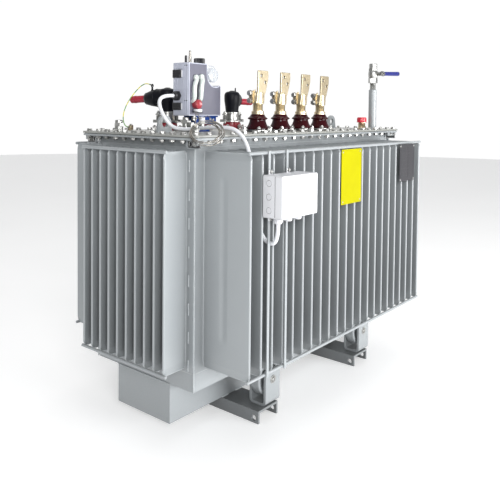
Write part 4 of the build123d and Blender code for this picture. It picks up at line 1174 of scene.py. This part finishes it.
# thin dark rod between the two tubes: painted shadow
pc, rc = bowed(-427, -426, -418, 1146, 1228, 1.9, 2.1, RY0 - 4.5)
win.add(tube(pc, rc, 10), "painted_shadow_gap")
for x, z in ((-434, 1232), (-405, 1236)):
    win.add(lathe([(0, 0), (10.5, 0), (11.5, 1.5), (11.5, 7), (9, 10.5), (0, 11.5)], 28), "clear", place((x, RY0, z), (0, -1, 0)))
win.done()

dome = Mesh("relay_dome_clear", ["thin_clear", "relay"], replaces=("relay_dome",), angle=40)
dx, dz = RX0 + 144, 1247
dome.add(lathe([(0, 37), (18, 36.6), (25, 34), (27, 30), (27, -12), (26, -13), (0, -13)], 48), "thin_clear", place((dx, 12, dz), (0, -1, 0)))
dome.add(ring_cyl(24.2, 27.6, 3.0, 0.8, 48), "thin_clear", place((dx, -15, dz), (0, -1, 0)))
sq = rounded(dx - 26, dz - 24, dx + 31, dz + 37, 7)
dome.add(plate(sq, [circle(dx, dz, 23.4, 36)], 2.2, 0.4), "thin_clear", stand(None, (0, 10, 0)))
dome.add(tube([(x, 7.4, z) for x, z in sq], 0.95, 8, closed=True), "relay")
dome.add(tube([(dx + 26.6 * cos(radians(a)), -14.6, dz + 26.6 * sin(radians(a))) for a in range(0, 360, 8)], 0.8, 8, closed=True), "relay")
dome.add(ring_cyl(20, 27.5, 6.0, 0.8, 48), "relay", place((dx, 38, dz), (0, -1, 0)))
dome.done()

rb_ = Mesh("relay_base_cast", ["relay_blue", "white_plastic", "steel"], replaces=("relay_base",), angle=35)
RCX, RCY = (RX0 + RX1) / 2, (RY0 + RY1) / 2
rb_.add(lathe([(0, 1032), (47, 1032), (48, 1033), (48, 1042.6), (46.6, 1044), (30, 1045), (27.4, 1047), (26, 1051), (26, 1062), (28, 1066), (0, 1066)], 48), "relay_blue", Matrix.Translation((RCX, RCY, 0)))
rb_.add(box((-416, -18, 1058), (-303.5, 42, 1091), 3.0, 3), "relay_blue")
rb_.add(box((-420, -20, 1086), (-296, 44, 1091.2), 1.6), "relay_blue")
# drain valve on its left side: neck, hexagon, bonnet and two studs
rb_.add(lathe([(0, 1034), (23, 1034), (24, 1035), (24, 1041), (22.6, 1042), (15, 1043), (14, 1045), (14, 1064), (0, 1066)], 36), "steel", Matrix.Translation((-441, 10, 0)))
rb_.add(hexhead(32, 14), "steel", Matrix.Translation((-441, 10, 1062)))
rb_.add(lathe([(0, 0), (13, 0), (13, 8), (11, 10), (0, 10)], 28), "steel", Matrix.Translation((-441, 10, 1076)))
rb_.add(lathe([(0, 0), (9, 0), (9.4, 1), (9.4, 24), (7, 27), (0, 27)], 28), "steel", place((-441, 10, 1056), (0, -1, 0)))
rb_.add(hexhead(22, 9), "steel", place((-441, -17, 1056), (0, -1, 0)))
for a in (35, 145, 215, 325):
    bolt(rb_, (-441 + 19 * cos(radians(a)), 10 + 19 * sin(radians(a)), 1041.4), (0, 0, 1), 10, 5, 6.5, 1.4, stud=3)
for k in range(4):
    a = radians(45 + 90 * k)
    bolt(rb_, (RCX + 38 * cos(a), RCY + 38 * sin(a), 1043.5), (0, 0, 1), 16, 7, 10.5, 2, stud=4)
rb_.add(disc_cyl(11.7, 28, 1.2, 28), "white_plastic", place((-391, -24, 1060), (0, 0, 1)))
rb_.add(lathe([(0, 0), (9, 0), (9.6, 1), (9.6, 10), (8, 12), (0, 12)], 24), "steel", place((-391, -24, 1050), (0, 0, 1)))
rb_.add(hexhead(20, 8), "steel", place((-430, -17, 1082), (0, -1, 0)))
for z in (1066, 1078):
    for x in (-340, -320):
        rb_.add(disc_cyl(3.6, 2.0, 0.5, 14), "steel", place((x, -18, z), (0, -1, 0)))
rb_.done()

# -------------------------------------------------------------- filling valve
VX, VY, SZ = 567.0, -225.0, 1292.0
vp = Mesh("filler_pipe_welded", ["paint", "steel", "weld"], replaces=("filler_pipe",), angle=40)
vp.add(lathe([(0, 1032), (18.5, 1032), (18.5, 1214.5), (17.4, 1217), (15.4, 1218.6), (0, 1218.6)], 48), "paint", Matrix.Translation((VX, VY, 0)))
weld_ring = [(VX + 19.6 * cos(2 * pi * k / 48), VY + 19.6 * sin(2 * pi * k / 48), 1033.2 + rng.uniform(-0.3, 0.3)) for k in range(48)]
vp.add(tube(weld_ring, [2.6 * (1 if k % 2 else 0.85) for k in range(48)], 7, closed=True), "weld")
vp.add(lathe([(0, 1217)] + [(13.8 - 0.9 * (k % 2), 1218 + 1.5 * k) for k in range(21)] + [(0, 1248)], 32), "steel", Matrix.Translation((VX, VY, 0)))
vp.done()
vb = Mesh("filling_valve", ["steel", "dark_steel_and_painted_shade", "painted_shadow_gap"], replaces=("valve_body",), angle=35)
vb.add(hexhead(38, 24, c=1.4), "steel", Matrix.Translation((VX, VY, 1249)))
vb.add(lathe([(0, 1272), (18.5, 1272), (21.0, 1276), (22.2, 1282), (22.6, 1290), (22.2, 1298), (21, 1304), (19.2, 1307), (0, 1307)], 44), "steel", Matrix.Translation((VX, VY, 0)))
vb.add(ring_cyl(17, 20.6, 3.0, 0.8, 40), "steel", Matrix.Translation((VX, VY, 1274)))
vb.add(hexhead(37, 12, c=1.2), "steel", Matrix.Translation((VX, VY, 1305)) @ Matrix.Rotation(radians(20), 4, "Z"))
vb.add(lathe([(0, 1316), (18, 1316), (19, 1317), (19, 1337.6), (17.6, 1340), (13.2, 1340.6), (12.4, 1339), (12.4, 1322), (0, 1322)], 44), "steel", Matrix.Translation((VX, VY, 0)))
# dark disc in the bore: painted shadow
vb.add(disc_cyl(12.2, 0.8, 0.1, 28), "painted_shadow_gap", Matrix.Translation((VX, VY, 1323)))
st = place((VX, VY - 16, SZ), (0, -1, 0))
vb.add(lathe([(0, 0), (12.5, 0), (12.5, 6), (9.6, 7.4), (9.6, 22), (0, 22)], 28), "steel", st)
vb.add(hexhead(18, 6), "steel", st @ Matrix.Translation((0, 0, 19.5)))
vb.add(disc_cyl(3.95, 22, 0.5, 16), "steel", st @ Matrix.Translation((0, 0, 25)))
vb.done()
lv = Mesh("valve_lever_dipped", ["blue_grip", "steel"], body="lever", replaces=("valve_lever",), angle=40)
y0, y1 = VY - 49, VY - 43
lv.add(extruded([(VX - 12, SZ - 10), (VX + 14, SZ - 12), (VX + 30, SZ - 8), (VX + 60, SZ - 6.5), (VX + 60, SZ + 8.5), (VX + 30, SZ + 9), (VX + 10, SZ + 13), (VX - 8, SZ + 12)], y0 + 1.2, y1 - 1.2, 0.9, 2), "steel")
grip = nurbs_points([(VX + 22, (y0 + y1) / 2, SZ + 1.2), (VX + 60, (y0 + y1) / 2, SZ + 2.6), (VX + 120, (y0 + y1) / 2, SZ + 5.6), (VX + 179.5, (y0 + y1) / 2, SZ + 8.6)], 8)
gv, gf = [], []
ng = len(grip)
for k, p in enumerate(grip):
    t = k / (ng - 1)
    hgt = 9.4 + 1.2 * t
    if k == 0:
        hgt *= 0.86
    endk = 1.0 if t < 0.97 else 0.72
    for j in range(20):
        a = 2 * pi * j / 20
        ex = 2.6
        ca, sa = cos(a), sin(a)
        u = math.copysign(abs(ca) ** (2 / ex), ca)
        v = math.copysign(abs(sa) ** (2 / ex), sa)
        gv.append((p.x, p.y + 4.6 * u * endk, p.z + hgt * v * endk))
for k in range(ng - 1):
    gf += [(k * 20 + j, k * 20 + (j + 1) % 20, (k + 1) * 20 + (j + 1) % 20, (k + 1) * 20 + j) for j in range(20)]
gf += [tuple(range(19, -1, -1)), tuple(range((ng - 1) * 20, ng * 20))]
lv.add((gv, gf), "blue_grip")
bolt(lv, (VX, y0 + 0.6, SZ), (0, -1, 0), 13, 5.5, 8.5, 1.4, stud=2.5)
lv.done()

# --------------------------------------------------- breather, pockets, earth
bs = Mesh("breather_threaded", ["steel", "brass"], replaces=("breather_stub",), angle=40)
bs.add(lathe([(0, 1032), (20, 1032), (20, 1036), (18.2, 1038), (17.2, 1039)] + [(16.8 - 0.9 * (k % 2), 1040 + 1.5 * k) for k in range(14)] + [(15.8, 1062.5), (0, 1062.8)], 36), "brass", Matrix.Translation((520, -195, 0)))
bs.done()
bc = Mesh("breather_cap_red", ["red_cap"], replaces=("breather_cap",), angle=40)
pts = []
prof = [(0, 1063), (24, 1063), (24, 1066), (21.8, 1067.4), (21.2, 1070), (21.0, 1083), (19.8, 1086.4), (17, 1087), (0, 1086.6)]
bc.add(lathe(prof, 48), "red_cap", Matrix.Translation((520, -195, 0)))
for k in range(20):
    a = 2 * pi * k / 20
    bc.add(box((20.0, -1.1, 1069), (22.3, 1.1, 1083.5), 0.5, 1), "red_cap", Matrix.Translation((520, -195, 0)) @ Matrix.Rotation(a, 4, "Z"))
bc.done()
sp_ = Mesh("sensor_pockets_turned", ["steel", "black_plastic", "brass"], replaces=("sensor_pockets",), angle=38)
sp_.add(lathe([(0, 1032), (15, 1032), (15, 1036), (13, 1037.4), (13, 1044)], 32), "steel", Matrix.Translation((-560, -155, 0)))
sp_.add(hexhead(24, 9), "steel", Matrix.Translation((-560, -155, 1043)))
sp_.add(lathe([(0, 1051), (11, 1051), (12, 1052.4), (12, 1058), (9, 1061.4), (4.2, 1063), (0, 1063)], 28), "steel", Matrix.Translation((-560, -155, 0)))
sp_.add(lathe([(0, 1032), (18, 1032), (18, 1037), (15.6, 1038.6), (15.6, 1050), (0, 1050)], 36), "steel", Matrix.Translation((-620, 180, 0)))
sp_.add(hexhead(30, 12), "steel", Matrix.Translation((-620, 180, 1050)))
sp_.add(lathe([(0, 1061), (13.6, 1061), (14.2, 1062), (14.2, 1071), (12.6, 1073.4), (0, 1074)], 32), "steel", Matrix.Translation((-620, 180, 0)))
sp_.add(box((-510.8, 243.2, 1032), (-497.2, 256.8, 1051.6), 1.0), "brass")
bolt(sp_, (-504, 250, 1051.4), (0, 0, 1), 10, 4, 6, 1.2)
sp_.add(tube([(-521, 250, 1044.5), (-511, 250, 1044.5)], 3.0, 14), "steel")
sp_.done()

# lifting lugs keep their shape; weld beads at their feet
lw = Mesh("lug_welds", ["weld"])
for sx in (-1, 1):
    x = sx * 561.0
    for sy in (-1, 1):
        weld_run(lw, (x - 36, sy * 7.6, 1032.6), (x + 36, sy * 7.6, 1032.6), 2.6, 5.0)
lw.done()

# ----------------------------------------------------------- junction box
BX0, BX1, BZ0, BZ1 = -561.0, -363.0, 775.0, 910.0
jb = Mesh("junction_box_moulded", ["white_plastic", "painted_shadow_gap", "steel", "black_plastic"], replaces=("junction_box",), angle=35)


def slab(mb, x0, x1, z0, z1, y0, y1, r, bev, mat):
    """Rounded rectangle in XZ from y1 (back) to y0 (front), with the front edge bevelled."""
    out = rounded(x0, z0, x1, z1, r, 5)
    ins = rounded(x0 + bev, z0 + bev, x1 - bev, z1 - bev, max(1.0, r - bev), 5)
    n = len(out)
    vs = [(x, y1, z) for x, z in out] + [(x, y0 + bev, z) for x, z in out]
    for k in (1, 2):
        a = radians(45 * k)
        vs += [(xo + (xi - xo) * (1 - cos(a)), y0 + bev * (1 - sin(a)), zo + (zi - zo) * (1 - cos(a))) for (xo, zo), (xi, zi) in zip(out, ins)]
    fs = []
    for r_ in range(3):
        fs += [(r_ * n + i, r_ * n + (i + 1) % n, (r_ + 1) * n + (i + 1) % n, (r_ + 1) * n + i) for i in range(n)]
    fs += [tuple(range(n)), tuple(range(3 * n, 4 * n))]
    mb.add((vs, fs), mat)


slab(jb, BX0, BX1, BZ0, BZ1, -497.6, -453, 6, 0.8, "white_plastic")
# dark band between box and lid: painted shade in the seam
slab(jb, BX0 + 2.4, BX1 - 2.4, BZ0 + 2.4, BZ1 - 2.4, -501.5, -497, 5, 0.4, "black_plastic")
# knock-outs on the sides and top
for x, s in ((BX0, -1), (BX1, 1)):
    for z in (800.0, 842.5, 885.0):
        jb.add(ring_cyl(10.6, 11.8, 1.3, 0.4, 28), "white_plastic", place((x - s * 0.4, -476, z), (s, 0, 0)))
        # thin black ring: painted shade in the knock-out's groove
        jb.add(ring_cyl(9.4, 10.4, 0.55, 0.1, 28), "black_plastic", place((x - s * 0.4, -476, z), (s, 0, 0)))
        jb.add(disc_cyl(9.0, 0.9, 0.3, 28), "white_plastic", place((x - s * 0.4, -476, z), (s, 0, 0)))
for x in (-520.0, -462.0, -404.0):
    jb.add(ring_cyl(9.8, 11.4, 1.2, 0.4, 28), "white_plastic", place((x, -476, BZ1 - 0.4), (0, 0, 1)))
# feet that bolt it to the straps
for x in (-527.0, -431.0):
    for z in (BZ0 - 5, BZ1 + 5):
        jb.add(box((x - 9, -457.5, z - 9), (x + 9, -453.2, z + 9), 1.4), "white_plastic")
        bolt(jb, (x, -457.2, z + (3 if z > 850 else -3)), (0, -1, 0), 10, 4, 6.5, 1.2)
jb.done()

jl = Mesh("junction_lid_moulded", ["white_plastic", "steel", "painted_shadow_gap", "black_plastic"], replaces=("junction_lid",), angle=30)
slab(jl, BX0 - 0.0, BX1 + 0.0, BZ0 - 0.0, BZ1 + 0.0, -527.6, -500.8, 6, 2.6, "white_plastic")
# shallow raised panel, kept bare
slab(jl, BX0 + 22, BX1 - 22, BZ0 + 9, BZ1 - 9, -528.0, -526.5, 5, 0.5, "white_plastic")
for x in (BX0 + 14, BX1 - 14):
    for z in (BZ0 + 12, BZ1 - 12):
        o = place((x, -527.2, z), (0, -1, 0))
        # black ring round each screw and its slot: painted shade in the recesses
        jl.add(ring_cyl(5.4, 6.4, 0.45, 0.1, 28), "black_plastic", o)
        jl.add(disc_cyl(5.2, 0.9, 0.3, 24), "white_plastic", o)
        jl.add(box((x - 4.2, -527.85, z - 0.7), (x + 4.2, -527.4, z + 0.7)), "black_plastic")
jl.done()

bg = Mesh("box_glands_threaded", ["white_plastic", "painted_shadow_gap"], replaces=("box_glands",), angle=32)
for k, x in enumerate((-514.0, -461.0, -408.0)):
    g = place((x, -478, BZ0 + 0.5), (0, 0, -1))
    if k == 0:
        bg.add(hexhead(28, 8.0), "white_plastic", g)
        bg.add(lathe([(0, 7), (13.4, 7), (14.4, 8.4), (14.4, 17), (11.4, 22.6), (7.4, 24), (0, 24)], 30), "white_plastic", g)
        for j in range(14):
            bg.add(box((13.6, -1.0, 9), (15.2, 1.0, 17), 0.4, 1), "white_plastic", g @ Matrix.Rotation(2 * pi * j / 14, 4, "Z"))
    else:
        bg.add(lathe([(0, 0), (14.6, 0), (14.6, 6), (13.6, 7.4), (13.6, 17), (12, 19.6), (0, 20.2)], 34), "white_plastic", g)
        for j in range(16):
            bg.add(box((13.0, -0.9, 8), (14.4, 0.9, 16.5), 0.35, 1), "white_plastic", g @ Matrix.Rotation(2 * pi * j / 16, 4, "Z"))
bg.done()

# ---------------------------------------------------------------- plates
fp = Mesh("front_plate_bare", ["yellow", "steel"], replaces=("front_plate",), angle=30)
fp.add(plate(rounded(-4 - 74.5, 865 - 104.5, -4 + 74.5, 865 + 104.5, 4, 5), [], 1.8, 0.35), "yellow", stand(None, (0, -446.1, 0)))
# pressed border line and rivets, no marks
edge = rounded(-4 - 70, 865 - 100, -4 + 70, 865 + 100, 3, 4)
fp.add(tube([(x, -447.8, z) for x, z in edge], 0.55, 6, closed=True), "yellow")
for x in (-4 - 64, -4 + 64):
    for z in (865 - 94, 865 + 94):
        fp.add(lathe([(3.6, -0.4), (3.6, 0.4), (2.6, 1.3), (0, 1.6)], 18), "steel", place((x, -447.6, z), (0, -1, 0)))
fp.done()

npm = Mesh("nameplate_etched", ["plate", "steel", "white_plastic"], replaces=("nameplate",), angle=30)
npm.add(plate(rounded(462 - 71.5, 892 - 80.5, 462 + 71.5, 892 + 80.5, 3, 5), [], 1.9, 0.35), "plate", stand(None, (0, -454.1, 0)))
# blank raised fields, without letters
for k in range(8):
    z = 950 - 16.5 * k
    x1 = 462 + 62 if k != 0 else 462 - 4
    npm.add(box((462 - 62, -456.35, z - 0.5), (x1, -455.8, z + 0.5)), "plate")
for x in (462 - 62, 462 + 8, 462 + 62):
    npm.add(box((x - 0.5, -456.35, 826), (x + 0.5, -455.8, 950)), "plate")
npm.add(plate(rounded(462 + 4, 944, 462 + 62, 964, 1.5, 3), [], 0.5, 0.15), "plate", stand(None, (0, -455.9, 0)))
for x in (462 - 64, 462 + 64):
    for z in (892 - 73, 892 + 73):
        npm.add(lathe([(4.6, -0.4), (4.6, 0.6), (3.4, 1.7), (0, 2.0)], 20), "steel", place((x, -455.9, z), (0, -1, 0)))
npm.done()
nb = Mesh("nameplate_rails", ["paint", "weld"], replaces=("nameplate_brackets",), angle=30)
for x in (418.0, 510.0):
    nb.add(box((x - 10, -454, 818), (x + 10, -446.2, 966), 0.9), "paint")
    for z in (826.0, 958.0):
        weld_run(nb, (x - 8, -447.2, z), (x + 8, -447.2, z), 1.6, 3.0, n=6)
nb.done()

# straps that carry the box: flat bars, welded to the rods at both ends
bst = Mesh("box_straps_flat", ["paint", "weld"], replaces=("box_straps",), angle=30)
for x in (-527.0, -431.0):
    bst.add(box((x - 5.5, -453, 253), (x + 5.5, -448.2, 985), 0.9), "paint")
    for z in (260.25, 977.75):
        for sx in (-1, 1):
            weld_run(bst, (x + sx * 6.4, -446.8, z - 5), (x + sx * 6.4, -446.8, z + 5), 1.5, 2.5, n=6)
bst.done()

# ------------------------------------------------------------ undercarriage
uc = Mesh("undercarriage_welds", ["weld", "steel"], angle=50)
for x in (-335.0, 335.0):
    for sx in (-1, 1):
        # rail to the box above it
        weld_run(uc, (x + sx * 20, -136.5, 47.2), (x + sx * 56, -136.5, 47.2), 2.6, 4.0)
        weld_run(uc, (x + sx * 20, 136.5, 47.2), (x + sx * 56, 136.5, 47.2), 2.6, 4.0)
for x in (-307.0, 363.0):
    for s in (-1, 1):
        for y in (234.0, 309.0):
            yy = s * (y - 18 if y > 300 else y + 18)
            weld_run(uc, (x - 30, yy, 46.6), (x + 20, yy, 46.6), 2.4, 4.0)
# long seams of the lower box
for s in (-1, 1):
    weld_run(uc, (-654, s * 136.0, 184.6), (654, s * 136.0, 184.6), 2.4, 7.0)
    weld_run(uc, (s * 657.2, -134, 184.6), (s * 657.2, 134, 184.6), 2.4, 7.0)
uc.done()

ax = Mesh("roller_axles_headed", ["steel", "dark_steel_and_painted_shade"], replaces=("roller_axles",), angle=30)
for x in (-307.0, 363.0):
    for s in (-1, 1):
        ya, yb = s * 230.0, s * 309.0
        ax.add(disc_cyl(9.9, 79, 0.6, 28), "steel", place((x, ya, 136), (0, s, 0)))
        o = place((x, yb - s * 0.2, 136), (0, s, 0))
        ax.add(lathe([(15, 0), (15, 1.6), (14.2, 2.4), (11.8, 2.4), (11.2, 1.8), (9.4, 1.8), (8.8, 4.4), (7.8, 5.6), (5.2, 6.0), (4.6, 4.4), (0, 4.2)], 36), "steel", o)
        for k in range(4):
            ax.add(box((4.4, -0.9, 3.0), (9.4, 0.9, 5.2), 0.3, 1), "dark_steel_and_painted_shade", o @ Matrix.Rotation(radians(45 + 90 * k), 4, "Z"))
        o2 = place((x, s * 234.2, 136), (0, -s, 0))
        ax.add(ring_cyl(9.8, 15, 3.0, 0.6, 28), "steel", o2)
        ax.add(tube([(x - 16, s * 229.6, 130), (x, s * 229.6, 136), (x + 16, s * 229.6, 142)], 1.9, 8), "steel")
ax.done()

# rollers: rounded tread, recessed web with ribs, hub ring
for nm, x, s in (("wheel_front_left", -307.0, -1), ("wheel_front_right", 363.0, -1), ("wheel_back_left", -307.0, 1), ("wheel_back_right", 363.0, 1)):
    wh = Mesh(nm + "_cast", ["paint", "dark_steel_and_painted_shade"], body=nm + "_body", replaces=(nm,), angle=34)
    half = [(10.1, 23), (17, 23), (19.4, 22), (20.4, 20), (21.4, 9.5), (24, 8), (44, 8), (47.4, 9.6), (49.6, 18.6), (51, 20), (58.6, 20), (60.8, 19.2), (62.1, 17), (62.5, 14)]
    prof = [(r, -h) for r, h in half] + [(r, h) for r, h in reversed(half)] + [(10.1, -23)]
    wh.add(lathe(prof, 72), "paint", place((x, s * 271.5, 136), (0, 1, 0)))
    for k in range(6):
        for hs in (-1, 1):
            m = place((x, s * 271.5, 136), (0, 1, 0)) @ Matrix.Rotation(radians(60 * k + 12), 4, "Z")
            wh.add(box((19.5, -2.6, 6.0 if hs > 0 else -15.0), (49.0, 2.6, 15.0 if hs > 0 else -6.0), 1.0), "paint", m)
    wh.done()

# trays bolted under the rim at the corners, with a bar beside them
tr = Mesh("corner_lugs_pressed", ["paint", "steel", "dark_steel_and_painted_shade", "painted_shadow_gap"], replaces=("corner_lugs",), angle=30)
for sx in (-1, 1):
    for sy in (-1, 1):
        def at(u, v, w=0.0):
            # u along the end wall towards the corner, v up, w outwards
            return Vector((sx * (674.0 + w), sy * (262.0 + u), 1002.0 + v))
        ya, yb = sorted((sy * 235.0, sy * 289.0))
        xa, xb = sorted((sx * 673.5, sx * 677.5))
        # dark back plate: painted shade inside the tray
        tr.add(box((xa, ya, 989), (xb, yb, 1015.6), 1.0), "dark_steel_and_painted_shade")
        for w in (1.5, 4.2, 6.8):
            path = [at(-27.0, 12.5, w)] + [at(-19.0 - 8 * cos(radians(a)), -4.6 - 8 * sin(radians(a)), w) for a in range(0, 91, 15)] + [at(26.5, -12.6, w)]
            tr.add(tube(path, 2.1, 8), "paint")
        xc = sx * 681.5
        tr.add(box((min(xa, xc), ya, 1012.6), (max(xb, xc), yb, 1015.8), 0.8), "paint")
        o = place(at(-13.0, 1.0, 3.3), (sx, 0, 0), (0, 0, 1))
        tr.add(ring_cyl(6.4, 8.6, 1.4, 0.4, 28), "steel", o @ Matrix.Diagonal((1.15, 0.9, 1, 1)))
        # dark disc in the ring's hole: painted shadow
        tr.add(disc_cyl(6.5, 0.7, 0.2, 24), "painted_shadow_gap", o @ Matrix.Diagonal((1.15, 0.9, 1, 1)))
        bolt(tr, at(11.0, 2.5, 3.4), (sx, 0, 0), 16, 7, 10.5, 2, stud=4)
        ba, bb = sorted((sx * 608.0, sx * 688.0))
        ca, cb_ = sorted((sy * 279.0, sy * 287.0))
        tr.add(box((ba, ca, 1000.5), (bb, cb_, 1015.8), 1.2), "paint")
        for x in (664.0, 636.0):
            bolt(tr, (sx * x, sy * 286.6, 1008.0), (0, sy, 0), 10, 4, 6.5, 1.2, stud=2)
tr.done()

# lifting lugs: flame-cut plates with a rounded eye and fillet welds
ll = Mesh("lifting_lugs_cut", ["paint"], replaces=("lifting_lugs",), angle=30)
for x in (-561.0, 561.0):
    out = [(x - 35.6, 0.4), (x + 35.6, 0.4), (x + 30, 34)]
    out += [(x + 30 * cos(radians(a)), 34 + 27.6 * sin(radians(a))) for a in range(9, 172, 9)] + [(x - 30, 34)]
    out = [(u, v + TOP) for u, v in out]
    ll.add(plate(out, [circle(x, TOP + 32, 14.0, 32)], 11.4, 0.8), "paint", stand(None, (0, 5.7, 0)))
ll.done()
